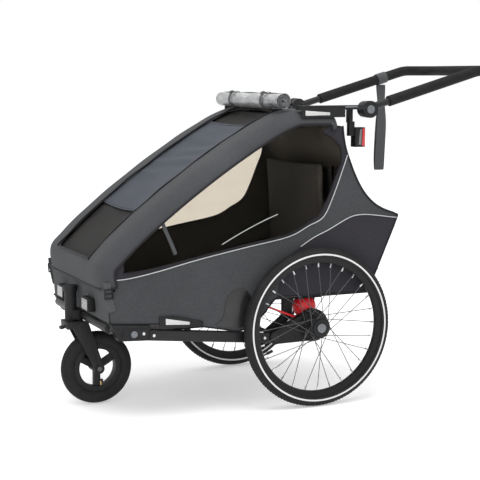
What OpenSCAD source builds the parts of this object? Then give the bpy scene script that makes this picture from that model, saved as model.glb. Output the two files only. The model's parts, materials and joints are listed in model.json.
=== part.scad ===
// Child bicycle trailer with a folding frame, two sprung rear wheels and a swivelling front wheel.
// Nose towards -X, push handle towards +X, left side towards -Y, +Z up.
// The shapes are drawn with x = 0 at the rear axle and moved once by axle_x, z = 0 on the ground.

/* [Rear wheels] */
// Outside diameter of the rear tyres
rear_wheel_d = 486; // [420:2:560]
// Width of the rear tyres
rear_tyre_w = 40; // [32:1:50]
// Height of the rear tyre above its rim
rear_tyre_h = 30; // [24:1:38]
// Depth of the rear rim, from its outside to its inside
rear_rim_h = 18; // [12:1:24]
// Width of the rear rim
rear_rim_w = 26; // [20:1:30]
// Spokes in one rear wheel
spoke_count = 28; // [20:4:36]
// Diameter of a spoke
spoke_d = 2.2; // [1.8:0.1:3]
// Diameter of the fixed rear spindle
spindle_d = 16; // [12:1:20]
// Distance between the spoke flanges of a rear hub
flange_gap = 34; // [28:1:40]

/* [Front wheel] */
// Outside diameter of the front tyre
front_wheel_d = 224; // [180:2:270]
// Width of the front tyre
front_tyre_w = 46; // [36:1:56]
// Height of the front tyre above its rim
front_tyre_h = 37; // [28:1:40]
// Depth of the front rim
front_rim_h = 17; // [12:1:20]
// Distance from the rear axle to the front axle
wheelbase = 600; // [520:5:700]
// Distance from the swivel axis back to the front axle
caster_trail = 78; // [50:1:100]
// Length of the swivel sleeve
sleeve_l = 108; // [80:1:140]
// Outside diameter of the swivel sleeve
sleeve_d = 36; // [30:1:44]

/* [Body] */
// Overall width of the cover, between its two side edges
body_w = 577; // [500:1:680]
// How far the nose stands ahead of the rear axle
nose_reach = 668; // [600:1:740]
// Height of the flat roof
roof_z = 893; // [820:1:960]
// Height of the lower edge of the front opening
nose_top_z = 470; // [440:1:500]
// Height of the lower edge of the cover at the nose
cover_low_z = 392; // [380:1:400]
// How far the roof reaches behind the rear axle
roof_rear = 84; // [60:1:110]
// How far the roof's flat part reaches ahead of the rear axle
brow_x = 47; // [30:1:80]
// How far the luggage bulge reaches behind the rear axle
boot_reach = 284; // [250:1:310]
// Height of the luggage bulge
boot_z = 570; // [540:1:600]
// Width of the front opening
opening_w = 312; // [260:1:360]
// Thickness of the cover
cover_t = 4; // [3:0.5:6]
// Thickness of the side and rear cloth panels
wall_t = 4; // [3:0.5:6]

/* [Frame] */
// Height of a side beam
beam_h = 32; // [26:1:38]
// Width of a side beam
beam_w = 24; // [20:1:28]
// Downward slope of the side beams towards the rear, in degrees
beam_slope = 5.9; // [3:0.1:8]
// Diameter of the folding hoop tubes
hoop_d = 22; // [18:1:26]
// Diameter of the cross tube that carries the swing arms
pivot_tube_d = 26; // [22:1:30]
// Height of the footwell floor
floor_z = 258; // [250:1:262]
// Height of the seat base and luggage floor
seat_z = 328; // [326:1:340]
// Bore of the tow bar sockets
socket_bore = 25; // [22:0.5:28]
// Depth of the tow bar sockets
socket_depth = 50; // [30:1:54]
// Diameter of the red suspension blocks
damper_d = 72; // [60:1:74]

/* [Handle] */
// Diameter of the handlebar tube
handle_d = 22; // [18:1:26]
// Outside diameter of the foam grip
grip_d = 33; // [28:1:38]
// Distance between the two handlebar arms
handle_w = 460; // [400:1:480]
// Length of the straight arms
arm_l = 408; // [340:1:460]
// Rise of the arms, in degrees
arm_rise = 16; // [5:1:25]
// How far the handle pivots stand behind the rear axle
pivot_reach = 201; // [190:1:220]
// Length of the wrist strap
strap_l = 300; // [200:5:360]

/* [Hidden] */
$fn = 64;
left = -1;
right = 1;
gap = 0.3;       // between pieces that only lie next to each other
run = 0.05;      // radial clearance of a turning fit
slide = 0.3;     // radial clearance of a push button
wheel_gap = 1.5; // between the cover's edge and a rear tyre

// Rear wheels
axle_z = rear_wheel_d / 2;
track = body_w + 2 * wheel_gap + rear_tyre_w;
wheel_y = track / 2;
rim_out_r = axle_z - rear_tyre_h;
rim_in_r = rim_out_r - rear_rim_h;
hub_r = 20;
flange_r = 33;
flange_t = 3;
spoke_hole_r = 30;
spoke_lean = 62;
hub_cap_r = 26;
hub_cap_t = 8;
button_r = 14;
button_travel = 3;
nipple_r = 1.9;
nipple_l = 12;
hub_in_y = wheel_y - flange_gap / 2 - 8;
hub_out_y = wheel_y + flange_gap / 2;
cap_out_y = hub_out_y + hub_cap_t;
button_pocket = button_travel + 2;
brake_ring_r = 48;
brake_ring_t = 4;
brake_teeth = 12;

// Side walls, under the cover's edge
half = body_w / 2;
lip_round = 75;  // width of the cover's rounded shoulder
lip_drop = 42;   // how far the shoulder comes down
lip_gap = 3.5;   // between the cover's edge and a side wall
wall_y = half - cover_t - lip_gap;
wall_in_y = wall_y - wall_t;
wall_tuck = 34;  // the walls end this far under the cover's crest

// Swing arms and suspension
arm_y_out = wall_y + 1;
arm_t = 20;
arm_y_in = arm_y_out - arm_t;
pivot_x = -125;
pivot_z = 214;
bush_r = 20;
carrier_r = 50;
damper_x = -2;
damper_y = 222;
damper_z = 293;
damper_low_z = 262;
damper_top_z = 322;
post_x = -81;
post_w = 30;
post_low_z = pivot_z + pivot_tube_d / 2 + 1;
post_y = 222;
post_t = 17;
bracket_y = 240;
bracket_t = 18;
leaf_t = 7;
leaf_w = 16;

// Side beams and tow sockets
beam_y = wall_y - 10;
beam_rear_x = -150;
socket_rear_x = -529;
socket_front_x = -647;
socket_low_z = 242;
socket_top_z = 290;
socket_y = beam_y + 3;
socket_w = 30;
socket_bore_z = 266;
socket_button_x = -578;
socket_button_z = 263;
socket_button_r = 10;
function beam_z(x) = pivot_z - 13.4 - tan(beam_slope) * x;

// Parking brake
brake_x = 60;
brake_z = 302;
brake_shaft_r = 7;
brake_shaft_l = 300;

// Fold hinge, nose frame
fold_x = -640;
fold_z = 400;
fold_pin_r = 6;
fold_eye_r = 14;
tube_sides = 14;
hoop_in = 33;    // the hoop runs this far under the cover's crest
post_plate_t = 8;
nose_post_y = socket_y - socket_w / 2 - post_plate_t - gap;
hoop_y = nose_post_y - gap - hoop_d / 2;
nose_tube_d = 28;

// Swivel front wheel
caster_x = -wheelbase - caster_trail;
front_z = front_wheel_d / 2;
front_rim_r = front_z - front_tyre_h;
sleeve_low_z = front_wheel_d + 38;
sleeve_top_z = sleeve_low_z + sleeve_l;
nose_tube_z = sleeve_low_z + 2 + nose_tube_d / 2;
crown_t = 22;
swivel_pin_r = 9;
crown_front = 22;
lever_r = 4;
lever_l = 8;
fork_gap = front_tyre_w + 8;
blade_t = 7;
fork_axle_r = 5;

// Cover path, from the nose up over the front opening and the roof to the rear edge
function bezier(p, t) = pow(1 - t, 3) * p[0] + 3 * pow(1 - t, 2) * t * p[1]
    + 3 * (1 - t) * t * t * p[2] + t * t * t * p[3];
slope_steps = 14;
slope_curve = [
    [-nose_reach, nose_top_z], [-nose_reach + 128, nose_top_z + 151],
    [-brow_x - 81, roof_z], [-brow_x, roof_z]
];
cover_path = concat(
    [[-nose_reach, cover_low_z], [-nose_reach - 7, (cover_low_z + nose_top_z) / 2]],
    [for (i = [0 : slope_steps]) bezier(slope_curve, i / slope_steps)],
    [[roof_rear - 60, roof_z], [roof_rear - 20, roof_z - 3], [roof_rear + 2, roof_z - 16],
     [roof_rear + 11, roof_z - 36], [roof_rear + 15, roof_z - 54]]
);
opening_first = 2;                    // the opening starts at the nose's top edge
opening_last = opening_first + slope_steps;
function unit(v) = v / norm(v);
function along(p, i) = unit(p[min(i + 1, len(p) - 1)] - p[max(i - 1, 0)]);
function outward(p, i) = [-along(p, i)[1], along(p, i)[0]];
function inset_path(p, d) = [for (i = [0 : len(p) - 1]) p[i] - d * outward(p, i)];
function part_of(p, a, b) = [for (i = [a : b]) p[i]];
function reversed(p) = [for (i = [len(p) - 1 : -1 : 0]) p[i]];

// Front face of the nose panel, and the top edge of the fixed lower walls below the folding ones
nose_low_z = 296;
function nose_face_x(z) = -nose_reach + 20 - 0.065 * (z - nose_low_z);
tub_front = [-nose_reach + 40, 410];
tub_mid = [-100, 450];
boot_low_x = 209;
boot_low_z = 382;
tub_rear = [boot_low_x + 3, boot_low_z + 8];

// Rear outline of the body, from under the roof's rear edge to the luggage floor
boot_curve = [[roof_rear + 11, roof_z - 70], [roof_rear + 41, boot_z + 165],
    [boot_reach - 94, boot_z + 45], [boot_reach, boot_z]];
boot_steps = 10;
body_low_z = seat_z + 6;
rear_outline = concat(
    [for (i = [0 : boot_steps]) bezier(boot_curve, i / boot_steps)],
    [[boot_reach + 3, boot_z - 12], tub_rear + [1, 1]]
);

// Folding rear hoop that carries the backrest
hoop_x = 110;
hoop_z = 400;
rear_hoop_l = 320;
rear_hoop_lean = 2.7;
rear_hoop_y = 205;
hoop_post_w = 26;
back_t = 26;
back_w = 380;
cushion_h = 38;
cushion_front_x = -232;
cushion_rear_x = 42;
cushion_w = 392;

// Roof rails and handle pivots
rail_in_y = 244;
rail_out_y = half - 1.5;
rail_skirt_t = 5.5;
rail_z = roof_z + gap;
rail_t = 13;
rail_front_x = -46;
rail_skirt_rear_x = 100;
housing_r = 26;
housing_t = 20;
pivot_pin_r = 6;
disc_t = 22;
handle_button_r = 13;
handle_button_travel = 3;
arm_y = handle_w / 2;
grip_start = 85;
grip_butt = 0.1;
end_bend_r = 160;
corner_r = 60;
handle_end_l = 12;
strap_at = 335;    // along the arm from the pivot
strap_w = 36;
strap_t = 3;
strap_loop_w = 42;
// The arms, the bend back to level, the level end and the corner reach this far behind the pivots
handle_reach = arm_l * cos(arm_rise) + end_bend_r * sin(arm_rise) + handle_end_l + corner_r;

lamp_x = 159;

// Rolled rain cover
roll_d = 50;
roll_l = 460;
roll_x = -79;
roll_strap_y = 118;
roll_strap_t = 1.5;
roll_z = roof_z + gap + roll_strap_t + gap + roll_d / 2;

// The frame's origin is the middle of the ground footprint
front_most = crown_front + gap + lever_r + lever_l - caster_x;
rear_most = pivot_reach + handle_reach + grip_d / 2;
axle_x = (front_most - rear_most) / 2;

module at_axle() translate([axle_x, 0, 0]) children();
// Puts a shape drawn for the right side (+Y) on either side
module on_side(side) scale([1, 1, 1]) mirror([0, side < 0 ? 1 : 0, 0]) children();
// Extrudes an outline given in x and z across the width, from y = a to y = b
module across(a, b) translate([0, b, 0]) rotate([90, 0, 0]) linear_extrude(b - a) children();
// A round bar along Y, from y = a to y = b
module bar_y(r, a, b) translate([0, b, 0]) rotate([90, 0, 0]) cylinder(r = r, h = b - a);
// A rectangle with round corners, centred
module round_rect(w, h, r) {
    square([w - 2 * r, h], center = true);
    square([w, h - 2 * r], center = true);
    for (x = [-1, 1], y = [-1, 1])
        translate([x * (w / 2 - r), y * (h / 2 - r)]) circle(r);
}
// A flat strip of thickness t that follows a path inwards from depth d
module strip(p, d, t) polygon(concat(inset_path(p, d), reversed(inset_path(p, d + t))));
// A closed skin between two grids of points; open_cell says which cells are left out
module skin(outer, inner, hole_rows, hole_columns) {
    n = len(outer);
    m = len(outer[0]);
    function solid(i, j) = i >= 0 && j >= 0 && i < n - 1 && j < m - 1
        && !(i >= hole_rows[0] && i < hole_rows[1] && j >= hole_columns[0] && j < hole_columns[1]);
    function o(i, j) = i * m + j;
    function q(i, j) = n * m + i * m + j;
    cells = [for (i = [0 : n - 2], j = [0 : m - 2]) if (solid(i, j)) [i, j]];
    faces = concat(
        [for (c = cells) [o(c[0], c[1]), o(c[0] + 1, c[1]), o(c[0] + 1, c[1] + 1)]],
        [for (c = cells) [o(c[0], c[1]), o(c[0] + 1, c[1] + 1), o(c[0], c[1] + 1)]],
        [for (c = cells) [q(c[0], c[1]), q(c[0] + 1, c[1] + 1), q(c[0] + 1, c[1])]],
        [for (c = cells) [q(c[0], c[1]), q(c[0], c[1] + 1), q(c[0] + 1, c[1] + 1)]],
        [for (c = cells) if (!solid(c[0] - 1, c[1]))
            [o(c[0], c[1]), o(c[0], c[1] + 1), q(c[0], c[1] + 1), q(c[0], c[1])]],
        [for (c = cells) if (!solid(c[0] + 1, c[1]))
            [o(c[0] + 1, c[1] + 1), o(c[0] + 1, c[1]), q(c[0] + 1, c[1]), q(c[0] + 1, c[1] + 1)]],
        [for (c = cells) if (!solid(c[0], c[1] - 1))
            [o(c[0] + 1, c[1]), o(c[0], c[1]), q(c[0], c[1]), q(c[0] + 1, c[1])]],
        [for (c = cells) if (!solid(c[0], c[1] + 1))
            [o(c[0], c[1] + 1), o(c[0] + 1, c[1] + 1), q(c[0] + 1, c[1] + 1), q(c[0], c[1] + 1)]]
    );
    polyhedron([for (r = outer) each r, for (r = inner) each r], faces);
}

// Side beam: a closed rectangular tube that slopes down towards the rear
module side_beam(side) color("#232527") on_side(side) {
    length = (beam_rear_x - socket_rear_x) / cos(beam_slope);
    translate([socket_rear_x + gap, beam_y, beam_z(socket_rear_x)])
        rotate([0, 90 + beam_slope, 0])
            linear_extrude(length) round_rect(beam_h, beam_w, 5);
}

// Tow bar socket: a moulded block with a blind bore in front and a seat for its push button
module tow_socket(side) color("#2b2d30") on_side(side) difference() {
    across(socket_y - socket_w / 2, socket_y + socket_w / 2)
        polygon([[socket_front_x, socket_top_z + 5], [socket_rear_x, socket_top_z - 5],
                 [socket_rear_x - 6, socket_low_z], [socket_front_x + 23, socket_low_z + 4]]);
    translate([socket_front_x - 1, socket_y, socket_bore_z])
        rotate([0, 90, 0]) cylinder(d = socket_bore, h = socket_depth + 1);
    translate([socket_button_x, 0, socket_button_z])
        bar_y(socket_button_r + slide, socket_y + socket_w / 2 - 10, socket_y + socket_w / 2 + 1);
}

// Push button that frees the tow bar
module socket_button(side) color("#8b8f93") on_side(side)
    translate([socket_button_x, 0, socket_button_z]) {
        bar_y(socket_button_r, socket_y + socket_w / 2 - 5, socket_y + socket_w / 2 + 3);
    }

// Screws of the sockets and beams, as seen from outside
module frame_bolts() color("#d8dadb") for (side = [left, right]) on_side(side) {
    translate([socket_rear_x - 20, 0, socket_button_z])
        bar_y(4.5, socket_y + socket_w / 2, socket_y + socket_w / 2 + 2);
    translate([socket_rear_x + 13, 0, beam_z(socket_rear_x + 13)])
        bar_y(4.5, beam_y + beam_w / 2, beam_y + beam_w / 2 + 2);
    translate([beam_rear_x - 14, 0, beam_z(beam_rear_x - 14)])
        bar_y(4.5, beam_y + beam_w / 2, beam_y + beam_w / 2 + 2);
}

// Nose frame: two upright plates with the fold pins, and the cross tube between them
module nose_frame() color("#232527") {
    for (side = [left, right]) on_side(side) {
        across(nose_post_y, nose_post_y + post_plate_t) {
            translate([fold_x, fold_z]) circle(fold_eye_r);
            polygon([[fold_x - 2, nose_tube_z - 8], [fold_x + fold_eye_r, nose_tube_z - 8],
                     [fold_x + fold_eye_r, fold_z], [fold_x - 6, fold_z - 12]]);
        }
        translate([fold_x, 0, fold_z])
            bar_y(fold_pin_r, hoop_y - hoop_d / 2 - 4, nose_post_y + 1);
    }
    translate([fold_x, 0, nose_tube_z]) bar_y(nose_tube_d / 2, -nose_post_y - 1, nose_post_y + 1);
}

// Floor: a low footwell, a riser and the raised seat base that runs back as the luggage floor,
// with the rear hoop's brackets on top and the brake shaft's hangers below
module floor_tray() color("#1b1c1e") {
    t = 4;
    riser_x = cushion_front_x - 8;
    front_x = fold_x + nose_tube_d / 2 + 4;
    across(-nose_post_y + 1, nose_post_y - 1)
        polygon([[front_x, floor_z], [riser_x, floor_z], [riser_x, seat_z - t],
                 [boot_low_x - wall_t - 1, seat_z - t], [boot_low_x - wall_t - 1, seat_z],
                 [riser_x - t, seat_z], [riser_x - t, floor_z + t], [front_x, floor_z + t]]);
    for (side = [left, right]) on_side(side)
        across(rear_hoop_y + hoop_d / 2 + 5, rear_hoop_y + hoop_d / 2 + 11) difference() {
            union() {
                translate([hoop_x - hoop_post_w / 2, seat_z - 1])
                    square([hoop_post_w, hoop_z - seat_z + 1]);
                translate([hoop_x, hoop_z]) circle(hoop_post_w / 2);
            }
            translate([hoop_x, hoop_z]) circle(fold_pin_r + run);
        }
    for (side = [left, right]) on_side(side)
        across(brake_shaft_l / 2 - 10, brake_shaft_l / 2 - 2) difference() {
            polygon([[brake_x - 18, seat_z - t + 1], [brake_x + 18, seat_z - t + 1],
                     [brake_x + 12, brake_z - 12], [brake_x - 12, brake_z - 12]]);
            translate([brake_x, brake_z]) circle(brake_shaft_r + run);
        }
}

// Axle beam: the cross tube that the swing arms turn on, and its two brackets on the side beams
module axle_beam() color("#232527") {
    translate([pivot_x, 0, pivot_z]) bar_y(pivot_tube_d / 2, -arm_y_out, arm_y_out);
    for (side = [left, right]) on_side(side)
        across(bracket_y, bracket_y + bracket_t)
            polygon([[beam_rear_x - 60, beam_z(beam_rear_x - 60) - 12],
                     [beam_rear_x - 60, beam_z(beam_rear_x - 60) + 12],
                     [pivot_x - 5, pivot_z + 22], [pivot_x + 22, pivot_z + 20],
                     [pivot_x + 26, pivot_z - 12], [pivot_x + 5, pivot_z - 20]]);
}

// Suspension posts: a stop post, the upper anchor of the leaf and the seat of the red block
module suspension_posts() color("#1d1e20") for (side = [left, right]) on_side(side) {
    across(post_y, post_y + post_t)
        polygon([[post_x, seat_z - 4], [post_x + post_w, seat_z - 4], [post_x + post_w, 266],
                 [pivot_x + 20, post_low_z], [pivot_x - 16, post_low_z], [post_x, 272]]);
    translate([damper_x - 45, post_y - 30, damper_top_z]) cube([90, 60, seat_z - 4 - damper_top_z]);
    across(post_y + post_t - 1, post_y + post_t + 1 + leaf_w)
        polygon([[-166, seat_z - 4], [-136, seat_z - 4], [-136, 309], [-166, 300]]);
}

// Red suspension block: a ball of elastomer, flat where it bears
module damper(side) color("#c4141c") on_side(side) translate([damper_x, damper_y, 0])
    intersection() {
        translate([0, 0, damper_z]) sphere(d = damper_d, $fn = 96);
        translate([-damper_d, -damper_d, damper_low_z])
            cube([2 * damper_d, 2 * damper_d, damper_top_z - gap - damper_low_z]);
    }

// Red leaf that links the frame with the swing arm
module leaf(side) color("#c4141c") on_side(side)
    across(post_y + post_t + gap, post_y + post_t + gap + leaf_w)
        polygon([[-160, 301 - leaf_t], [-160, 301], [-138, 308], [-44, 269], [-44, 269 - leaf_t],
                 [-138, 308 - leaf_t]]);

// Swivel mount: the clamp on the cross tube, the upright sleeve and its round cap
module caster_mount() color("#26282a") {
    difference() {
        union() {
            translate([caster_x, 0, sleeve_low_z]) cylinder(d = sleeve_d, h = sleeve_l);
            translate([caster_x, 0, sleeve_top_z - 18]) cylinder(d = sleeve_d + 6, h = 18);
            across(-20, 20) polygon([[caster_x, nose_tube_z - 12], [caster_x, nose_tube_z + 16],
                [fold_x + 4, nose_tube_z + 16], [fold_x + 4, nose_tube_z + nose_tube_d / 2 + gap],
                [fold_x - nose_tube_d / 2 - gap, nose_tube_z + nose_tube_d / 2 + gap],
                [fold_x - nose_tube_d / 2 - gap, nose_tube_z - 12]]);
        }
        translate([caster_x, 0, sleeve_low_z - 1]) cylinder(r = swivel_pin_r + run, h = sleeve_l - 19);
    }
}

// Fixed lower wall of the body
module side_panel(side) color("#4c5052") on_side(side) across(wall_in_y, wall_y)
    polygon([[-nose_reach + 14, cover_low_z - 4], [-nose_reach + 38, cover_low_z - 3],
             tub_front, tub_mid, tub_rear, [boot_low_x, body_low_z],
             [-120, body_low_z], [-200, 262], [-244, 246], [-356, 266], [-515, 287],
             [-nose_reach + 24, 296]]);

// Outline of the side window, inside its trim
function window_outline() = concat(
    [[-nose_reach + 66, 468], [-523, 474], [-375, 497], [-216, 527], [-100, 548], [-30, 575],
     [28, 618], [92, 745], [58, 806], [28, 832]],
    reversed(part_of(inset_path(cover_path, lip_drop + 12), opening_first + 3, opening_last))
);

// Folding upper wall: the cloth above the fixed wall, with the thin window in it
module side_window(side) color("#3f4144") on_side(side) {
    top = part_of(inset_path(cover_path, wall_tuck), 1, len(cover_path) - 1);
    across(wall_in_y, wall_y) difference() {
        polygon(concat(
            [tub_rear + [0, gap], tub_mid + [0, gap], tub_front + [0, gap]], top, rear_outline));
        polygon(window_outline());
    }
    across(wall_in_y + 1, wall_in_y + 2.5) polygon(window_outline());
}

// Nose panel below the cover's front edge
module nose_panel() color("#45494b") {
    w = wall_in_y - 1;
    top_z = cover_low_z - 4;
    across(-w, w)
        polygon([[nose_face_x(top_z), top_z], [nose_face_x(top_z) + wall_t, top_z],
                 [nose_face_x(nose_low_z) + wall_t, nose_low_z], [nose_face_x(nose_low_z), nose_low_z]]);
}

// Lower rear wall
module rear_panel() color("#3a383f") {
    w = wall_in_y - 1;
    across(-w, w) polygon([[boot_low_x, body_low_z], tub_rear + [-3, 0], tub_rear + [-3 - wall_t, 0],
        [boot_low_x - wall_t, body_low_z]]);
}

// Folding upper rear wall with the luggage bulge
module rear_flap() color("#3a383f") {
    w = wall_in_y - 1;
    line = concat(part_of(rear_outline, 1, len(rear_outline) - 2), [tub_rear + [0, 3]]);
    across(-w, w) polygon(concat(line, reversed([for (p = line) p - [wall_t, wall_t / 2]])));
}

// Seat cushion
module seat_cushion() color("#2a2b2d")
    translate([cushion_front_x, -cushion_w / 2, seat_z + gap])
        cube([cushion_rear_x - cushion_front_x, cushion_w, cushion_h]);

// Crotch strap and buckle of the harness, lying on the cushion
module harness_buckle() color("#151617") {
    translate([-100, -15, seat_z + cushion_h + 2 * gap]) cube([60, 30, 3]);
    translate([-150, -26, seat_z + cushion_h + 2 * gap]) cube([50, 52, 14]);
}

// Reflectors: two on the nose panel and one low on each side wall
module reflectors() color("#d9dbdc") for (side = [left, right]) on_side(side) {
    across(95, 157)
        polygon([[-nose_reach - 6, 312], [-nose_reach - 6, 352],
                 [nose_face_x(352) - gap, 352], [nose_face_x(312) - gap, 312]]);
    across(wall_y, wall_y + 6)
        polygon([[-500, 276], [-500, 308], [-455, 308], [-363, 284], [-363, 272], [-420, 268]]);
}

// Parking brake pedal on its cross shaft, hung under the luggage floor
module brake_pedal() color("#1c1d1f") translate([brake_x, 0, brake_z]) {
    bar_y(brake_shaft_r, -brake_shaft_l / 2, brake_shaft_l / 2);
    rotate([0, -8, 0]) translate([0, -40, -4]) cube([120, 80, 8]);
}

// Swing arm: the bush on the cross tube, the arm, the wheel carrier, its lug and the spindle
module swing_arm(side) color("#191a1c") on_side(side) difference() {
    union() {
        across(arm_y_in, arm_y_out) {
            translate([pivot_x, pivot_z]) circle(bush_r);
            translate([0, axle_z]) circle(carrier_r);
            polygon([[pivot_x - 4, pivot_z - bush_r + 1], [pivot_x - 8, pivot_z + bush_r - 2],
                     [-22, axle_z + carrier_r - 8], [-14, axle_z - carrier_r + 3]]);
        }
        translate([damper_x - 36, post_y - 26, damper_low_z - 20])
            cube([72, arm_y_in - post_y + 27, 20 - gap]);
        translate([0, 0, axle_z]) bar_y(spindle_d / 2, arm_y_in, hub_out_y);
    }
    translate([pivot_x, 0, pivot_z]) bar_y(pivot_tube_d / 2 + run, arm_y_in - 1, arm_y_out + 1);
}

// Rear tyre
module tyre(side) color("#141516") on_side(side)
    translate([0, wheel_y, axle_z]) rotate([90, 0, 0]) rotate_extrude($fn = 128) difference() {
        translate([axle_z - rear_tyre_w / 2, 0]) circle(d = rear_tyre_w);
        translate([0, -rear_tyre_w]) square([rim_out_r, 2 * rear_tyre_w]);
    }

// Rear rim
module rim(side) color("#1a1b1c") on_side(side)
    translate([0, wheel_y, axle_z]) rotate([90, 0, 0]) rotate_extrude($fn = 128)
        polygon([[rim_in_r + 2, -rear_rim_w / 2 + 6], [rim_in_r, -3], [rim_in_r, 3],
                 [rim_in_r + 2, rear_rim_w / 2 - 6], [rim_out_r, rear_rim_w / 2],
                 [rim_out_r, -rear_rim_w / 2]]);

// Spokes with their nipples: each flange holds them on both faces, so crossing ones pass clear
module spokes(side) color("#55585b") on_side(side)
    translate([0, wheel_y, axle_z]) for (k = [0 : spoke_count - 1]) {
        flange = k % 2 == 0 ? 1 : -1;
        turn = floor(k / 2) % 2 == 0 ? 1 : -1;
        a = 360 * k / spoke_count;
        face_y = flange * (flange_gap / 2 - flange_t / 2 + turn * (flange_t + spoke_d + 3 * gap) / 2);
        start = [spoke_hole_r * cos(a + turn * spoke_lean), face_y,
                 spoke_hole_r * sin(a + turn * spoke_lean)];
        stop = [(rim_in_r - 2 * gap) * cos(a), 0, (rim_in_r - 2 * gap) * sin(a)];
        d = stop - start;
        translate(start) rotate([0, acos(d[2] / norm(d)), atan2(d[1], d[0])]) {
            cylinder(d = spoke_d, h = norm(d), $fn = 16);
            translate([0, 0, norm(d) - nipple_l]) cylinder(r = nipple_r, h = nipple_l, $fn = 16);
        }
    }

// Rear hub: the shell, its two flanges, the brake ring inside and the round cap outside
module hub(side) color("#17181a") on_side(side) translate([0, 0, axle_z]) difference() {
    union() {
        bar_y(hub_r, hub_in_y, hub_out_y);
        bar_y(flange_r, wheel_y - flange_gap / 2, wheel_y - flange_gap / 2 + flange_t);
        bar_y(flange_r, hub_out_y - flange_t, hub_out_y);
        bar_y(hub_cap_r, hub_out_y, cap_out_y);
        difference() {
            bar_y(brake_ring_r, hub_in_y, hub_in_y + brake_ring_t);
            for (k = [0 : brake_teeth - 1]) rotate([0, 360 * k / brake_teeth, 0])
                translate([brake_ring_r - 4, 0, -4]) cube([10, 2 * wheel_y, 8]);
        }
    }
    bar_y(spindle_d / 2 + run, hub_in_y - 1, hub_out_y + 1);
    bar_y(button_r + slide, cap_out_y - button_pocket, cap_out_y + 1);
}

// Grey push button in the hub cap that frees the wheel
module axle_button(side) color("#6d7075") on_side(side) translate([0, 0, axle_z])
    bar_y(button_r, cap_out_y - 1, cap_out_y + 4);

// Fork of the front wheel: swivel pin, crown and two blades that trail back to the axle
module caster_fork() color("#202224") difference() {
    union() {
        translate([caster_x, 0, sleeve_low_z - crown_t])
            cylinder(r = swivel_pin_r, h = crown_t + sleeve_l - 22);
        across(-fork_gap / 2 - blade_t, fork_gap / 2 + blade_t)
            polygon([[caster_x - crown_front, sleeve_low_z - gap], [caster_x + 36, sleeve_low_z - gap],
                     [caster_x + 52, sleeve_low_z - crown_t - 14],
                     [caster_x + 8, front_z + norm([caster_trail, front_z]) - 5],
                     [caster_x - 20, sleeve_low_z - crown_t]]);
        for (s = [left, right]) on_side(s) across(fork_gap / 2, fork_gap / 2 + blade_t) {
            polygon([[caster_x - 12, sleeve_low_z - gap], [caster_x + 44, sleeve_low_z - gap],
                     [-wheelbase + 15, front_z + 4], [-wheelbase - 15, front_z - 2]]);
            translate([-wheelbase, front_z]) circle(16);
        }
    }
    translate([-wheelbase, 0, front_z]) bar_y(front_z + 4, -fork_gap / 2, fork_gap / 2);
    translate([-wheelbase, 0, front_z]) bar_y(fork_axle_r, -fork_gap, fork_gap);
}

// Flip lever at the front of the fork crown that locks the swivel
module lock_lever() color("#202224")
    translate([caster_x - crown_front - gap - lever_r, 0, sleeve_low_z - 18]) across(-12, 12) {
        circle(lever_r);
        polygon([[0, lever_r], [-lever_l, 1], [-lever_l, -6], [0, -lever_r]]);
    }

// Front tyre
module front_tyre() color("#151617") translate([-wheelbase, 0, front_z]) rotate([90, 0, 0])
    rotate_extrude($fn = 128) difference() {
        translate([front_z - front_tyre_w / 2, 0]) circle(d = front_tyre_w);
        translate([0, -front_tyre_w]) square([front_rim_r, 2 * front_tyre_w]);
    }

// Front rim: a moulded ring with three broad spokes and a bored hub
module front_rim() color("#1b1c1d") translate([-wheelbase, 0, front_z]) difference() {
    union() {
        rotate([90, 0, 0]) rotate_extrude($fn = 128)
            translate([front_rim_r - front_rim_h, -16]) square([front_rim_h, 32]);
        bar_y(16, -22, 22);
        for (k = [0 : 2]) rotate([0, 90 + 120 * k, 0]) translate([10, -9, -10])
            cube([front_rim_r - front_rim_h - 8, 18, 20]);
    }
    bar_y(fork_axle_r + run, -30, 30);
}

// Front axle bolt through the fork and the wheel
module front_axle() color("#8d9195") translate([-wheelbase, 0, front_z]) {
    bar_y(fork_axle_r, -fork_gap / 2 - blade_t, fork_gap / 2 + blade_t);
    for (s = [left, right]) on_side(s)
        bar_y(8, fork_gap / 2 + blade_t, fork_gap / 2 + blade_t + 4);
}

// Points round a bent tube of radius r whose centre line runs through the points p in the plane y
function tube_points(p, r, y) = [for (i = [0 : len(p) - 1], k = [0 : tube_sides - 1])
    let (a = 360 * k / tube_sides, c = p[i] + r * cos(a) * outward(p, i))
        [c[0], y + r * sin(a), c[1]]];
module bent_tube(p, r, y) {
    last = (len(p) - 1) * tube_sides;
    function at(i, k) = i * tube_sides + k % tube_sides;
    polyhedron(tube_points(p, r, y), concat(
        [for (i = [0 : len(p) - 2], k = [0 : tube_sides - 1]) [at(i, k), at(i, k + 1), at(i + 1, k + 1)]],
        [for (i = [0 : len(p) - 2], k = [0 : tube_sides - 1]) [at(i, k), at(i + 1, k + 1), at(i + 1, k)]],
        [[for (k = [tube_sides - 1 : -1 : 0]) k]],
        [[for (k = [0 : tube_sides - 1]) last + k]]
    ));
}

// Folding front hoop: two bent side tubes under the cover's shoulders, their eyes, a cross tube
module canopy_hoop() color("#202224") {
    inside = inset_path(cover_path, hoop_in);
    bends = concat([[fold_x + 1, fold_z + fold_eye_r - 4], [fold_x + 8, fold_z + 40]],
        part_of(inside, opening_first + 2, opening_last + 1));
    last = len(bends) - 1;
    for (side = [left, right]) on_side(side) {
        bent_tube(bends, hoop_d / 2, hoop_y);
        difference() {
            translate([fold_x, 0, fold_z])
                bar_y(fold_eye_r, hoop_y - hoop_d / 2 + 2, hoop_y + hoop_d / 2 - 2);
            translate([fold_x, 0, fold_z]) bar_y(fold_pin_r + run, hoop_y - hoop_d, hoop_y + hoop_d);
        }
    }
    translate([bends[last][0] - 4, 0, bends[last][1]]) bar_y(hoop_d / 2 - 2, -hoop_y, hoop_y);
}

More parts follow.
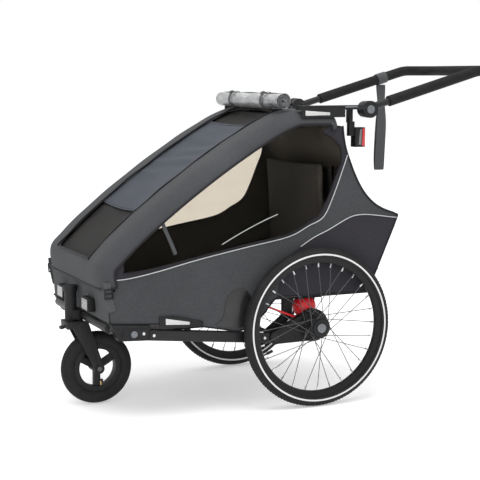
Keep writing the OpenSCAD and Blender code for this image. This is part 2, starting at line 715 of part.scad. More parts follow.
// Cross-section of the cover at depth t below its crest, as pairs of y and depth
function cover_section(t) = concat(
    [for (a = [90 : -22.5 : 0])
        [-half + lip_round - (lip_round - t) * sin(a), lip_drop - (lip_drop - t) * cos(a)]],
    [[-opening_w / 2, t], [0, t], [opening_w / 2, t]],
    [for (a = [0 : 22.5 : 90])
        [half - lip_round + (lip_round - t) * sin(a), lip_drop - (lip_drop - t) * cos(a)]]
);
function cover_grid(t) = [for (i = [0 : len(cover_path) - 1]) [for (s = cover_section(t))
    let (p = cover_path[i] - s[1] * outward(cover_path, i)) [p[0], s[0], p[1]]]];

// Cover: one cloth shell over the nose, the two shoulders and the roof, open in front
module front_cover() color("#54585a")
    skin(cover_grid(0), cover_grid(cover_t), [opening_first, opening_last], [5, 7]);

// Sunshade drawn over the upper part of the front opening
module sunshade() color("#555d69") across(-opening_w / 2 - 8, opening_w / 2 + 8)
    strip(part_of(cover_path, opening_first + 4, opening_last - 3), cover_t + gap, 2);

// Insect mesh across the whole front opening
module front_mesh() color("#2c2c2c") across(-opening_w / 2 - 14, opening_w / 2 + 14)
    strip(part_of(cover_path, opening_first, opening_last + 1), cover_t + 2 + 2 * gap, 1.5);

// Clear rain cover, rolled up on the roof's front edge
module rain_roll() color("#b9bcbd") translate([roll_x, 0, roll_z])
    bar_y(roll_d / 2, -roll_l / 2, roll_l / 2);

// Elastic loops round the roll
module roll_straps() color("#1a1a1b") for (s = [left, right])
    translate([roll_x, s * roll_strap_y, roll_z]) difference() {
        bar_y(roll_d / 2 + gap + roll_strap_t, -7, 7);
        bar_y(roll_d / 2 + gap, -8, 8);
    }

// Roof rail with the outer half of a handle pivot
module roof_rail(side) color("#1f2123") on_side(side) difference() {
    union() {
        translate([rail_front_x, rail_in_y, rail_z])
            cube([pivot_reach - rail_front_x, 22, rail_t]);
        translate([rail_front_x, rail_in_y + 20, rail_z + 1])
            cube([rail_skirt_rear_x - rail_front_x, rail_out_y - rail_in_y - 20, rail_t - 1]);
        translate([rail_front_x, rail_out_y - rail_skirt_t, rail_z - 22])
            cube([rail_skirt_rear_x - rail_front_x, rail_skirt_t, 30]);
        translate([pivot_reach, 0, roof_z]) bar_y(housing_r, rail_in_y, rail_in_y + housing_t);
        translate([pivot_reach, 0, roof_z]) bar_y(pivot_pin_r, rail_in_y - disc_t + 2, rail_in_y + 1);
    }
    translate([pivot_reach, 0, roof_z])
        bar_y(handle_button_r + slide, rail_in_y + housing_t - 8, rail_in_y + housing_t + 3);
}

// Round button on a handle pivot that frees the handle's angle
module handle_button(side) color("#75787c") on_side(side) translate([pivot_reach, 0, roof_z])
    bar_y(handle_button_r, rail_in_y + housing_t - 4, rail_in_y + housing_t + 3);

// Rear light hanging on a bracket from the left rail
module rear_light() color("#a01818") on_side(left) {
    translate([lamp_x - 21, arm_y - 8, roof_z - 40])
        cube([12, rail_in_y - arm_y + 8, 40 + rail_t - 2]);
    translate([lamp_x - 18, arm_y - 8, roof_z - 81]) cube([19, 16, 44]);
    translate([lamp_x, arm_y - 15, roof_z - 115]) cube([34, 30, 60]);
}

// Folding rear hoop that carries the backrest
module rear_hoop() color("#202224")
    translate([hoop_x, 0, hoop_z]) rotate([0, -rear_hoop_lean, 0]) {
        for (side = [left, right]) on_side(side) {
            translate([0, rear_hoop_y, 0]) cylinder(d = hoop_d - 2, h = rear_hoop_l);
            bar_y(hoop_d / 2, rear_hoop_y - hoop_d / 2, rear_hoop_y + hoop_d / 2);
            bar_y(fold_pin_r, rear_hoop_y, rear_hoop_y + hoop_d / 2 + 11);
        }
        translate([0, 0, rear_hoop_l - hoop_d / 2]) bar_y(hoop_d / 2 - 2, -rear_hoop_y, rear_hoop_y);
    }

// Padded backrest on the rear hoop
module backrest() color("#2a2b2d")
    translate([hoop_x, 0, hoop_z]) rotate([0, -rear_hoop_lean, 0])
        translate([-hoop_d / 2 - back_t - gap, -back_w / 2, 0]) cube([back_t, back_w, rear_hoop_l + 8]);

module tube_outline(r, hole) difference() {
    circle(r, $fn = 48);
    if (hole > 0) circle(hole, $fn = 48);
}
// The handlebar's run of arms, bends and rear bar, as a tube of radius r around a hole, from a
// distance along the arm onwards; butt is left free at the ends of the straight lengths
module handle_run(r, hole, start, butt) translate([pivot_reach, 0, roof_z]) {
    level_x = arm_l * cos(arm_rise) + end_bend_r * sin(arm_rise);
    level_z = arm_l * sin(arm_rise) + end_bend_r * (1 - cos(arm_rise));
    for (side = [left, right]) on_side(side) {
        translate([0, arm_y, 0]) rotate([0, 90 - arm_rise, 0])
            translate([0, 0, start]) linear_extrude(arm_l - start - butt) tube_outline(r, hole);
        translate([level_x, arm_y, level_z - end_bend_r]) rotate([90, 0, 0]) rotate([0, 0, 90])
            rotate_extrude(angle = arm_rise, $fn = 128) translate([end_bend_r, 0]) tube_outline(r, hole);
        translate([level_x + butt, arm_y, level_z]) rotate([0, 90, 0])
            linear_extrude(handle_end_l - 2 * butt) tube_outline(r, hole);
        translate([level_x + handle_end_l, arm_y - corner_r, level_z])
            rotate_extrude(angle = 90, $fn = 128) translate([corner_r, 0]) tube_outline(r, hole);
    }
    translate([level_x + handle_end_l + corner_r, arm_y - corner_r - butt, level_z])
        rotate([90, 0, 0]) linear_extrude(2 * (arm_y - corner_r - butt)) tube_outline(r, hole);
}

// Handlebar tube with its two pivot discs
module handlebar() color("#222426") difference() {
    union() {
        handle_run(handle_d / 2, 0, 10, 0);
        for (side = [left, right]) on_side(side) translate([pivot_reach, 0, roof_z])
            bar_y(housing_r - 1, rail_in_y - disc_t - gap, rail_in_y - gap);
    }
    for (side = [left, right]) on_side(side) translate([pivot_reach, 0, roof_z])
        bar_y(pivot_pin_r + run, rail_in_y - disc_t + 1, rail_in_y + 1);
}

// Foam grip over the bar, from behind one pivot to behind the other, in butted lengths
module grip() color("#161718") handle_run(grip_d / 2, handle_d / 2, grip_start, grip_butt);

// Wrist strap: a ring round the right arm and the webbing loop that hangs from it
module wrist_strap() color("#3c3e40")
    translate([pivot_reach + strap_at * cos(arm_rise), arm_y, roof_z + strap_at * sin(arm_rise)]) {
        ring_r = grip_d / 2 + gap + strap_t;
        rotate([0, 90 - arm_rise, 0]) translate([0, 0, -strap_w / 2])
            linear_extrude(strap_w) tube_outline(ring_r, grip_d / 2 + gap);
        translate([0, 0, 2 - ring_r - strap_w / 2 * tan(arm_rise) - strap_l / 2]) rotate([0, 0, 90]) across(-strap_w / 2, strap_w / 2) difference() {
            round_rect(strap_loop_w, strap_l, strap_loop_w / 2 - 1);
            round_rect(strap_loop_w - 2 * strap_t, strap_l - 2 * strap_t, strap_loop_w / 2 - 1 - strap_t);
        }
    }

at_axle() side_beam(left);  // side_beam_left
at_axle() side_beam(right);  // side_beam_right
at_axle() tow_socket(left);  // tow_socket_left
at_axle() tow_socket(right);  // tow_socket_right
at_axle() socket_button(left);  // socket_button_left
at_axle() socket_button(right);  // socket_button_right
at_axle() frame_bolts();
at_axle() nose_frame();
at_axle() floor_tray();
at_axle() axle_beam();
at_axle() suspension_posts();
at_axle() damper(left);  // damper_left
at_axle() damper(right);  // damper_right
at_axle() leaf(left);  // leaf_left
at_axle() leaf(right);  // leaf_right
at_axle() caster_mount();
at_axle() side_panel(left);  // side_panel_left
at_axle() side_panel(right);  // side_panel_right
at_axle() side_window(left);  // side_window_left
at_axle() side_window(right);  // side_window_right
at_axle() nose_panel();
at_axle() rear_panel();
at_axle() rear_flap();
at_axle() seat_cushion();
at_axle() harness_buckle();
at_axle() reflectors();
at_axle() brake_pedal();
at_axle() swing_arm(left);  // swing_arm_left
at_axle() swing_arm(right);  // swing_arm_right
at_axle() tyre(left);  // tyre_left
at_axle() rim(left);  // rim_left
at_axle() spokes(left);  // spokes_left
at_axle() hub(left);  // hub_left
at_axle() axle_button(left);  // axle_button_left
at_axle() tyre(right);  // tyre_right
at_axle() rim(right);  // rim_right
at_axle() spokes(right);  // spokes_right
at_axle() hub(right);  // hub_right
at_axle() axle_button(right);  // axle_button_right
at_axle() caster_fork();
at_axle() lock_lever();
at_axle() front_tyre();
at_axle() front_rim();
at_axle() front_axle();
at_axle() canopy_hoop();
at_axle() front_cover();
at_axle() sunshade();
at_axle() front_mesh();
at_axle() rain_roll();
at_axle() roll_straps();
at_axle() roof_rail(left);  // roof_rail_left
at_axle() roof_rail(right);  // roof_rail_right
at_axle() rear_light();
at_axle() rear_hoop();
at_axle() backrest();
at_axle() handlebar();
at_axle() grip();
at_axle() handle_button(left);  // handle_button_left
at_axle() handle_button(right);  // handle_button_right
at_axle() wrist_strap();
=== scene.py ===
import json
from math import asin, atan2, cos, exp, hypot, pi, radians, sin

import bmesh
import bpy
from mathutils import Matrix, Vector, noise


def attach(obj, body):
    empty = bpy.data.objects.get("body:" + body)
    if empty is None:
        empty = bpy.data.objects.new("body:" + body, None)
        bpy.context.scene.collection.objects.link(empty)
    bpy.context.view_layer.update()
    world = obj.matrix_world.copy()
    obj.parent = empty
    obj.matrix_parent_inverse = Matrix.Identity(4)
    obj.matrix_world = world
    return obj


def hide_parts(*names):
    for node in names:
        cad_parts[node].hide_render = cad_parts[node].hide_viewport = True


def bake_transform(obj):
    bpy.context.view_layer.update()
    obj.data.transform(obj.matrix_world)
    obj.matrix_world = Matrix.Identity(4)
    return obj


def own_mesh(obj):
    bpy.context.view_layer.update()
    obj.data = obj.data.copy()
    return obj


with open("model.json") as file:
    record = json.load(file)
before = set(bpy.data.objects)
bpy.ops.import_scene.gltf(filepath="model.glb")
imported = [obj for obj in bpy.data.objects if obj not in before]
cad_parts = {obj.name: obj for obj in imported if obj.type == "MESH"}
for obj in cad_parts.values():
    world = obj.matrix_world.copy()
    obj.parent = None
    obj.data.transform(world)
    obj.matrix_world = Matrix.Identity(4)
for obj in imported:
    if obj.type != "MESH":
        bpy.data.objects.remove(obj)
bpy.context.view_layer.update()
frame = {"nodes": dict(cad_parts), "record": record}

AXLE_X = -6.748                                   # the rear axle, ahead of the frame's origin


def spot(x, y, z):
    """A point given in millimetres from the rear axle, the middle plane and the ground."""
    return Vector(((x + AXLE_X) / 1000, y / 1000, z / 1000))


scene = bpy.context.scene
scene.view_settings.view_transform = "Standard"
lens = bpy.data.cameras.new("studio_camera")
lens.lens = 97.12
lens.sensor_width = 36.0
camera = bpy.data.objects.new("studio_camera", lens)
camera.location = spot(-1787.96, -3720.96, 995.8)
camera.rotation_euler = (radians(90 - 7.244), 0, radians(-24.17))
scene.collection.objects.link(camera)
scene.camera = camera

sky = bpy.data.worlds.new("studio_air")
sky.use_nodes = True
sky.node_tree.nodes["Background"].inputs["Color"].default_value = (1.0, 1.0, 1.0, 1)
sky.node_tree.nodes["Background"].inputs["Strength"].default_value = 1.0
scene.world = sky


def lamp(name, place, aim, size, power):
    light = bpy.data.lights.new(name, "AREA")
    light.size = size
    light.energy = power
    thing = bpy.data.objects.new(name, light)
    thing.location = place
    thing.rotation_euler = (Vector(aim) - Vector(place)).to_track_quat("-Z", "Y").to_euler()
    scene.collection.objects.link(thing)


lamp("top_lamp", (-0.6, -0.8, 3.2), (0, 0, 0.5), 2.6, 62)
lamp("side_lamp", (-2.6, -2.6, 1.8), (0, 0, 0.5), 2.0, 24)

bpy.ops.object.select_all(action="DESELECT")
bpy.ops.mesh.primitive_grid_add(x_subdivisions=2, y_subdivisions=2, size=30, location=(0, 0, -0.0005))
floor = bpy.context.object
floor.name = "studio_floor"


# ------------------------------------------------------------------ Finishes
# What each finish is mixed from. A Signal is a value that varies over a surface, and the sums
# written with it become the finish's own nodes.
class Signal:
    def __init__(self, recipe, socket):
        self.recipe = recipe
        self.socket = socket

    def maths(self, operation, first, second):
        return self.recipe.node("ShaderNodeMath", {"operation": operation}, {0: first, 1: second})

    def __add__(self, other): return self.maths("ADD", self, other)
    def __radd__(self, other): return self.maths("ADD", other, self)
    def __rsub__(self, other): return self.maths("SUBTRACT", other, self)
    def __mul__(self, other): return self.maths("MULTIPLY", self, other)


class Recipe:
    """One finish: a material with its Principled shader and the nodes that feed it."""

    def __init__(self, name, **fixed):
        self.material = bpy.data.materials.new(name)
        self.material.use_nodes = True
        self.tree = self.material.node_tree
        self.shader = self.tree.nodes["Principled BSDF"]
        for socket, value in fixed.items():
            self.shader.inputs[socket.replace("_", " ")].default_value = value

    def node(self, kind, settings, values, out=0):
        new = self.tree.nodes.new(kind)
        for name, value in settings.items():
            if name == "stops":
                while len(new.color_ramp.elements) < len(value):
                    new.color_ramp.elements.new(1.0)
                for element, (place, colour) in zip(new.color_ramp.elements, value):
                    element.position = place
                    element.color = (*colour, 1)
            else:
                setattr(new, name, value)
        for name, value in values.items():
            if isinstance(value, Signal):
                self.tree.links.new(value.socket, new.inputs[name])
            else:
                new.inputs[name].default_value = value
        return Signal(self, new.outputs[out])

    def place(self, stretch=(1, 1, 1), turn=(0, 0, 0)):
        coords = self.node("ShaderNodeTexCoord", {}, {}, "Object")
        return self.node("ShaderNodeMapping", {}, {"Vector": coords, "Scale": stretch, "Rotation": turn})

    def grain(self, scale, stretch=(1, 1, 1), detail=3.0, rough=0.55):
        return self.node("ShaderNodeTexNoise", {},
                         {"Vector": self.place(stretch), "Scale": scale, "Detail": detail,
                          "Roughness": rough})

    def ramp(self, value, *stops):
        return self.node("ShaderNodeValToRGB", {"stops": stops}, {"Fac": value})

    def feed(self, **links):
        for socket, value in links.items():
            self.tree.links.new(value.socket, self.shader.inputs[socket.replace("_", " ")])
        return self.material

    def bump(self, height, depth, strength=1.0):
        return self.node("ShaderNodeBump", {}, {"Height": height, "Distance": depth, "Strength": strength})


def clear_selection():
    bpy.ops.object.select_all(action="DESELECT")


def select_only(thing):
    clear_selection()
    thing.select_set(True)
    bpy.context.view_layer.objects.active = thing


def with_modifier(thing, kind, **settings):
    select_only(thing)
    modifier = thing.modifiers.new(kind.lower(), kind)
    for name, value in settings.items():
        setattr(modifier, name, value)
    bpy.ops.object.modifier_apply(modifier=modifier.name)


def shade_smooth(thing, angle=35):
    select_only(thing)
    bpy.ops.object.shade_smooth_by_angle(angle=radians(angle))


def paint(thing, material):
    thing.data.materials.clear()
    thing.data.materials.append(material)


floor_mix = Recipe("floor_paint", Roughness=0.9, Emission_Strength=0.42)
floor_speck = floor_mix.grain(3.0)
floor_tone = floor_mix.ramp(floor_speck, (0.3, (0.78, 0.78, 0.78)), (0.7, (0.82, 0.82, 0.82)))
paint(floor, floor_mix.feed(Base_Color=floor_tone, Emission_Color=floor_tone))

body_of = {node: body for body, nodes in frame["record"]["behaviour"]["bodies"].items() for node in nodes}


def worked(node, width, material, steps=2, name=None):
    """The exact part with its sharp edges broken, standing in for its node."""
    part = frame["nodes"][node].copy()
    part.data = frame["nodes"][node].data.copy()
    part.name = name or node + "_part"
    part.parent = None
    scene.collection.objects.link(part)
    select_only(part)
    bpy.ops.object.mode_set(mode="EDIT")
    bpy.ops.mesh.select_all(action="SELECT")
    bpy.ops.mesh.remove_doubles(threshold=0.00001)
    bpy.ops.mesh.dissolve_limited(angle_limit=radians(0.6))
    bpy.ops.object.mode_set(mode="OBJECT")
    with_modifier(part, "BEVEL", width=width / 1000, segments=steps, limit_method="ANGLE",
                  angle_limit=radians(38), harden_normals=False)
    shade_smooth(part)
    paint(part, material)
    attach(part, body_of[node])
    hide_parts(node)
    return part


def finish_node(node, material):
    """A turned or bent part keeps its exact shape and takes its finish."""
    part = frame["nodes"][node]
    paint(part, material)
    return part


# ------------------------------------------------------------------ Frame tubes
# The side beams, the nose frame, the cross tube, the two folding hoops and the bare ends of the
# handlebar are aluminium tube, powder coated black with a fine orange-peel skin.
coat = Recipe("black_powder_coat", IOR=1.5, Specular_IOR_Level=0.3)
peel = coat.grain(900.0, detail=2.0)
patch = coat.grain(9.0)
powder_coat = coat.feed(
    Base_Color=coat.ramp(patch, (0.35, (0.006, 0.0062, 0.0068)), (0.7, (0.012, 0.0123, 0.0132))),
    Roughness=0.36 + patch * 0.16,
    Normal=coat.bump(peel, 0.00012, 0.5))
for node in ("nose_frame", "axle_beam"):
    worked(node, 0.8, powder_coat)
for node in ("side_beam_left", "side_beam_right", "canopy_hoop", "rear_hoop", "handlebar"):
    finish_node(node, powder_coat)

# ------------------------------------------------------------------ Moulded parts
# Tow sockets, floor, suspension seats, caster, pedal, rails and swing arms are glass-filled
# nylon: a matt black with the fine spark-eroded grain of its mould and paler, rubbed edges.
nylon = Recipe("moulded_nylon", IOR=1.5, Specular_IOR_Level=0.25)
mould_grain = nylon.grain(1400.0, detail=2.0)
wear = nylon.grain(35.0, detail=5.0)
moulded_nylon = nylon.feed(
    Base_Color=nylon.ramp(wear, (0.3, (0.006, 0.0062, 0.0068)), (0.62, (0.011, 0.0113, 0.0122)),
                          (0.8, (0.02, 0.0205, 0.022))),
    Roughness=0.48 + wear * 0.18,
    Normal=nylon.bump(mould_grain, 0.0002, 0.6))
for node, width in (("floor_tray", 1.2), ("suspension_posts", 1.0), ("caster_mount", 1.6),
                    ("lock_lever", 1.0), ("brake_pedal", 1.6), ("swing_arm_left", 2.0),
                    ("swing_arm_right", 2.0), ("caster_fork", 3.2), ("tow_socket_left", 2.0),
                    ("tow_socket_right", 2.0), ("harness_buckle", 1.4)):
    worked(node, width, moulded_nylon)

# ------------------------------------------------------------------ Push buttons
# Grey acetal buttons that spring back: tow bar, wheel and handle releases.
acetal = Recipe("grey_acetal", IOR=1.48)
rub = acetal.grain(120.0, detail=4.0)
grey_acetal = acetal.feed(
    Base_Color=acetal.ramp(rub, (0.3, (0.095, 0.102, 0.112)), (0.75, (0.15, 0.158, 0.17))),
    Roughness=0.34 + rub * 0.2,
    Normal=acetal.bump(rub, 0.0001, 0.4))
for side in ("left", "right"):
    worked("socket_button_" + side, 1.6, grey_acetal, 3)
    worked("axle_button_" + side, 1.6, grey_acetal, 3)
    worked("handle_button_" + side, 1.6, grey_acetal, 3)

# ------------------------------------------------------------------ Bright steel
# Screw heads of the sockets, the front axle bolt and the drawn spokes, zinc plated.
zinc = Recipe("zinc_plate", Metallic=1.0)
zinc_cloud = zinc.grain(260.0, detail=4.0)
zinc_plate = zinc.feed(
    Base_Color=zinc.ramp(zinc_cloud, (0.3, (0.5, 0.51, 0.53)), (0.7, (0.68, 0.69, 0.7))),
    Roughness=0.24 + zinc_cloud * 0.2,
    Normal=zinc.bump(zinc_cloud, 0.00006, 0.4))
worked("frame_bolts", 0.6, zinc_plate)

black_steel = Recipe("black_spoke_steel", Metallic=0.7)
draw_line = black_steel.grain(400.0)
spoke_steel = black_steel.feed(
    Base_Color=black_steel.ramp(draw_line, (0.3, (0.05, 0.05, 0.053)), (0.7, (0.12, 0.12, 0.125))),
    Roughness=0.28 + draw_line * 0.2,
    Normal=black_steel.bump(draw_line, 0.00004, 0.4))
worked("front_axle", 0.8, spoke_steel)
for side in ("left", "right"):
    finish_node("spokes_" + side, spoke_steel)

# ------------------------------------------------------------------ Red suspension
# Polyurethane blocks and leaf links in signal red, cast, with a slight skin and dust.
elastomer = Recipe("red_elastomer", IOR=1.5, Subsurface_Weight=0.04)
dust = elastomer.grain(60.0, detail=5.0)
red_elastomer = elastomer.feed(
    Base_Color=elastomer.ramp(dust, (0.3, (0.62, 0.008, 0.014)), (0.8, (0.7, 0.02, 0.026))),
    Roughness=0.36 + dust * 0.22,
    Normal=elastomer.bump(dust, 0.0003, 0.35))
for side, sign in (("left", -1), ("right", 1)):
    block = worked("damper_" + side, 1.5, red_elastomer)
    tuple(spot(-18, sign * 222, 321.7))
    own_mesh(block)
    link = worked("leaf_" + side, 1.5, red_elastomer)
    tuple(spot(-150, sign * 240, 308))
    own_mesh(link)

# ------------------------------------------------------------------ Rear wheels
# 20 inch wheels: a black tyre with small tread blocks and a reflective band on each side, a black
# anodised rim with its tube valve, spokes in bright nipples, and a moulded hub with a brake ring.
rubber = Recipe("tyre_rubber", IOR=1.5, Specular_IOR_Level=0.2)
bloom = rubber.grain(28.0, detail=6.0)
skin_grain = rubber.grain(1100.0, detail=2.0)
tyre_rubber = rubber.feed(
    Base_Color=rubber.ramp(bloom, (0.3, (0.0075, 0.0075, 0.008)), (0.75, (0.0165, 0.0165, 0.0175))),
    Roughness=0.55 + bloom * 0.25,
    Normal=rubber.bump(skin_grain, 0.00025, 0.6))
band = Recipe("reflective_band", IOR=1.5)
beads = band.grain(900.0, detail=2.0)
reflective_band = band.feed(
    Base_Color=band.ramp(beads, (0.35, (0.5, 0.5, 0.49)), (0.7, (0.72, 0.72, 0.71))),
    Roughness=0.3 + beads * 0.3,
    Normal=band.bump(beads, 0.0001, 0.5))
anodised = Recipe("black_anodised_rim", Metallic=0.4, Specular_IOR_Level=0.3)
brushed = anodised.grain(240.0, (1, 9, 1), 3.0)
rim_black = anodised.feed(
    Base_Color=anodised.ramp(brushed, (0.3, (0.006, 0.006, 0.0066)), (0.75, (0.016, 0.016, 0.0172))),
    Roughness=0.3 + brushed * 0.18,
    Normal=anodised.bump(brushed, 0.00005, 0.4))


def linked(name, shape):
    """The drawn shape as a thing in the scene."""
    mesh = bpy.data.meshes.new(name)
    shape.to_mesh(mesh)
    shape.free()
    thing = bpy.data.objects.new(name, mesh)
    scene.collection.objects.link(thing)
    return thing


def close_rings(shape, rings):
    """Skins rings of points, each closed on itself and the last joined to the first."""
    count = len(rings[0])
    for here, after in zip(rings, rings[1:] + rings[:1]):
        for k in range(count):
            shape.faces.new((here[k], after[k], after[(k + 1) % count], here[(k + 1) % count]))
    bmesh.ops.recalc_face_normals(shape, faces=shape.faces)


def wheel_way(angle):
    """The outward and the forward direction at a place round a wheel."""
    return Vector((cos(angle), 0, sin(angle))), Vector((-sin(angle), 0, cos(angle)))


def turned(name, profile, centre, steps=160):
    """A ring turned round an axle along Y from a closed outline of radius and offset, in mm."""
    shape = bmesh.new()
    rings = []
    for step in range(steps):
        angle = 2 * pi * step / steps
        rings.append([shape.verts.new(spot(centre[0] + r * cos(angle), centre[1] + y,
                                           centre[2] + r * sin(angle))) for r, y in profile])
    close_rings(shape, rings)
    ring = linked(name, shape)
    shade_smooth(ring)
    return ring


def joined(name, things, material=None):
    clear_selection()
    for thing in things:
        thing.select_set(True)
    bpy.context.view_layer.objects.active = things[0]
    if len(things) > 1:
        bpy.ops.object.join()
    whole = bpy.context.object
    whole.name = name
    if material:
        paint(whole, material)
    return whole


BLOCK_TAPER = 0.72                                # a block's top against its foot


def blocks(name, places):
    """Many small tapered blocks, each a centre and three half sizes as vectors, in metres."""
    shape = bmesh.new()
    corners = (-1, -1), (1, -1), (1, 1), (-1, 1)
    for centre, along, across, up in places:
        low = [shape.verts.new(centre + a * along + b * across - up) for a, b in corners]
        high = [shape.verts.new(centre + BLOCK_TAPER * (a * along + b * across) + up) for a, b in corners]
        shape.faces.new(low[::-1])
        shape.faces.new(high)
        for k in range(4):
            shape.faces.new((low[k], low[(k + 1) % 4], high[(k + 1) % 4], high[k]))
    bmesh.ops.recalc_face_normals(shape, faces=shape.faces)
    return linked(name, shape)


def rod(radius, start, stop, way, bevel):
    """A short round rod between two points, its rims broken, all in metres."""
    bpy.ops.mesh.primitive_cylinder_add(vertices=24, radius=radius, depth=(stop - start).length,
                                        location=(start + stop) / 2)
    piece = bpy.context.object
    piece.rotation_euler = way.to_track_quat("Z", "Y").to_euler()
    bpy.ops.object.transform_apply(location=True, rotation=True, scale=True)
    with_modifier(piece, "BEVEL", width=bevel, segments=2)
    return piece


def tyre_outline(radius, width, rim_radius):
    """Half-open round section of a tyre, as radius and offset, closed along the rim."""
    mid = radius - width / 2
    start = asin((rim_radius - mid) / (width / 2))
    angles = [start + (pi - 2 * start) * k / 32 for k in range(33)]
    return [(mid + width / 2 * sin(angle), width / 2 * cos(angle)) for angle in angles]


AXLE_Z, WHEEL_Y = 243, 310
TYRE_ROUND = 19.5                                 # half the tyre's width, and the round of its tread
TYRE_MID = 222.5                                  # radius of the middle of the tyre's section
TREAD_STEPS = 132

for side, sign in (("left", -1), ("right", 1)):
    centre = (0, WHEEL_Y * sign, AXLE_Z)
    tyre = turned("tyre_rubber_" + side, tyre_outline(242.0, 39.0, 213.3), centre, 192)
    tread = []
    for k in range(TREAD_STEPS):
        for row, offset in enumerate((-13.5, -7, 0, 7, 13.5)):
            out, turn = wheel_way(2 * pi * (k + 0.5 * (row % 2)) / TREAD_STEPS)
            drop = TYRE_ROUND - (TYRE_ROUND ** 2 - offset ** 2) ** 0.5
            lean = (Vector((0, offset / TYRE_ROUND, 0)) + out * (1 - drop / TYRE_ROUND)).normalized()
            along = out.cross(lean).normalized() * 0.0021 if row % 2 else turn * 0.0036
            tread.append((spot(*centre) + out * (242.2 - drop) / 1000 + Vector((0, offset / 1000, 0)),
                          along, turn.cross(lean).normalized() * 0.0017, lean * 0.0008))
    dots = blocks("tread_" + side, tread)
    tyre = joined("tyre_cover_" + side, [tyre, dots], tyre_rubber)
    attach(tyre, "wheel_" + side)
    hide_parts("tyre_" + side)
    bands = []
    for face in (-1, 1):
        profile = [(r, face * ((TYRE_ROUND ** 2 - (r - TYRE_MID) ** 2) ** 0.5 + lift))
                   for lift, radii in ((0.35, (219.8, 221.2, 223.2, 224.8)), (-0.5, (224.8, 219.8)))
                   for r in radii]
        bands.append(turned("band", profile, centre))
    white = joined("tyre_bands_" + side, bands, reflective_band)
    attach(white, "wheel_" + side)
    finish_node("rim_" + side, rim_black)
    worked("hub_" + side, 0.8, moulded_nylon)
    # Nipples of nickel-plated brass where the spokes meet the rim, and the tube's valve with its cap.
    nipples = []
    for k in range(28):
        out, turn = wheel_way(2 * pi * k / 28)
        nipples.append((spot(*centre) + out * 0.189, turn * 0.0023, Vector((0, 0.0023, 0)), out * 0.0062))
    caps = joined("nipples_" + side, [blocks("nipples", nipples)], zinc_plate)
    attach(caps, "wheel_" + side)
    out, turn = wheel_way(atan2(177 - AXLE_Z, -165))
    valve = [rod(radius, spot(*centre) + out * start, spot(*centre) + out * stop, out, 0.0009)
             for start, stop, radius in ((0.195, 0.182, 0.0026), (0.183, 0.163, 0.0044))]
    stem = joined("valve_" + side, valve, moulded_nylon)
    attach(stem, "wheel_" + side)

# ------------------------------------------------------------------ Front wheel
# A small pneumatic tyre with fine cross ribs on a one-piece moulded wheel with three spokes.
centre = (-600, 0, 112)
tyre = turned("front_rubber", tyre_outline(111.2, 45.0, 75.4), centre, 144)
ribs = []
for k in range(96):
    out, turn = wheel_way(2 * pi * k / 96)
    for offset in (-17.5, -12, -6, 0, 6, 12, 17.5):
        rise = (22.5 ** 2 - offset ** 2) ** 0.5
        lean = (out * rise + Vector((0, offset, 0))).normalized()
        ribs.append((spot(*centre) + out * (88.7 + rise) / 1000 + Vector((0, offset / 1000, 0)),
                     turn * 0.0019, turn.cross(lean).normalized() * 0.0026, lean * 0.0007))
tyre = joined("front_tyre_cover", [tyre, blocks("ribs", ribs)], tyre_rubber)
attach(tyre, "front_wheel")
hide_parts("front_tyre")
worked("front_rim", 2.2, moulded_nylon, 3)
brass = Recipe("brass_stem", Metallic=1.0)
tarnish = brass.grain(300.0)
brass_stem = brass.feed(Base_Color=brass.ramp(tarnish, (0.3, (0.5, 0.34, 0.12)), (0.7, (0.72, 0.5, 0.2))),
                        Roughness=0.25 + tarnish * 0.2)
stem_parts = []
for x, z, radius, depth, material in ((-589.2, 62, 2.6, 14, brass_stem), (-586, 70, 4.2, 9, moulded_nylon)):
    piece = rod(radius / 1000, spot(x, -9, z - depth / 2), spot(x, -9, z + depth / 2),
                Vector((0, 0, 1)), 0.0007)
    paint(piece, material)
    stem_parts.append(piece)
stem = joined("front_valve", stem_parts)
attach(stem, "front_wheel")

# ------------------------------------------------------------------ Cloth cover
# One tailored shell of coated polyester over the nose, both shoulders and the roof, sewn to the
# frame's sleeves. It is open in front, and its edges are bound with black piping.
def woven(name, dark, mid, light, rough=0.78, slub=1.0):
    """Coated polyester: melange yarns, slubs that run along the weft, and the relief of the weave."""
    cloth = Recipe(name, IOR=1.45, Specular_IOR_Level=0.2, Sheen_Weight=0.04, Sheen_Roughness=0.5)
    yarn = cloth.grain(420.0, (0.35, 0.35, 2.6), 4.0, 0.7)
    cloud = cloth.grain(5.0, detail=3.0)
    warp = cloth.node("ShaderNodeTexWave", {"bands_direction": "DIAGONAL"},
                      {"Vector": cloth.place(), "Scale": 150.0, "Distortion": 1.2, "Detail": 1.0})
    weft = cloth.node("ShaderNodeTexWave", {"bands_direction": "Z"},
                      {"Vector": cloth.place(), "Scale": 230.0, "Distortion": 1.5, "Detail": 1.0})
    tone = yarn * 0.62 * slub + cloud * 0.24 + warp * 0.08 + 0.07
    return cloth.feed(
        Base_Color=cloth.ramp(tone, (0.3, dark), (0.52, mid), (0.74, light)),
        Roughness=rough + yarn * 0.14,
        Normal=cloth.bump(warp * 0.5 + weft * 0.5 + yarn * 0.6, 0.0004, 0.5))


slate_cloth = woven("slate_cloth", (0.025, 0.0265, 0.0285), (0.041, 0.0432, 0.0465), (0.067, 0.0702, 0.0748))
dark_cloth = woven("dark_cloth", (0.0145, 0.0135, 0.0165), (0.024, 0.0225, 0.0275), (0.039, 0.037, 0.0445))
shade_cloth = woven("shade_cloth", (0.03, 0.0355, 0.0445), (0.041, 0.048, 0.06),
                    (0.057, 0.0655, 0.0805), 0.62, 0.8)
lining = woven("cabin_lining", (0.085, 0.082, 0.08), (0.13, 0.126, 0.123), (0.18, 0.175, 0.17))
binding = woven("black_binding", (0.006, 0.0055, 0.007), (0.011, 0.01, 0.0125),
                (0.019, 0.0175, 0.0215), 0.6)

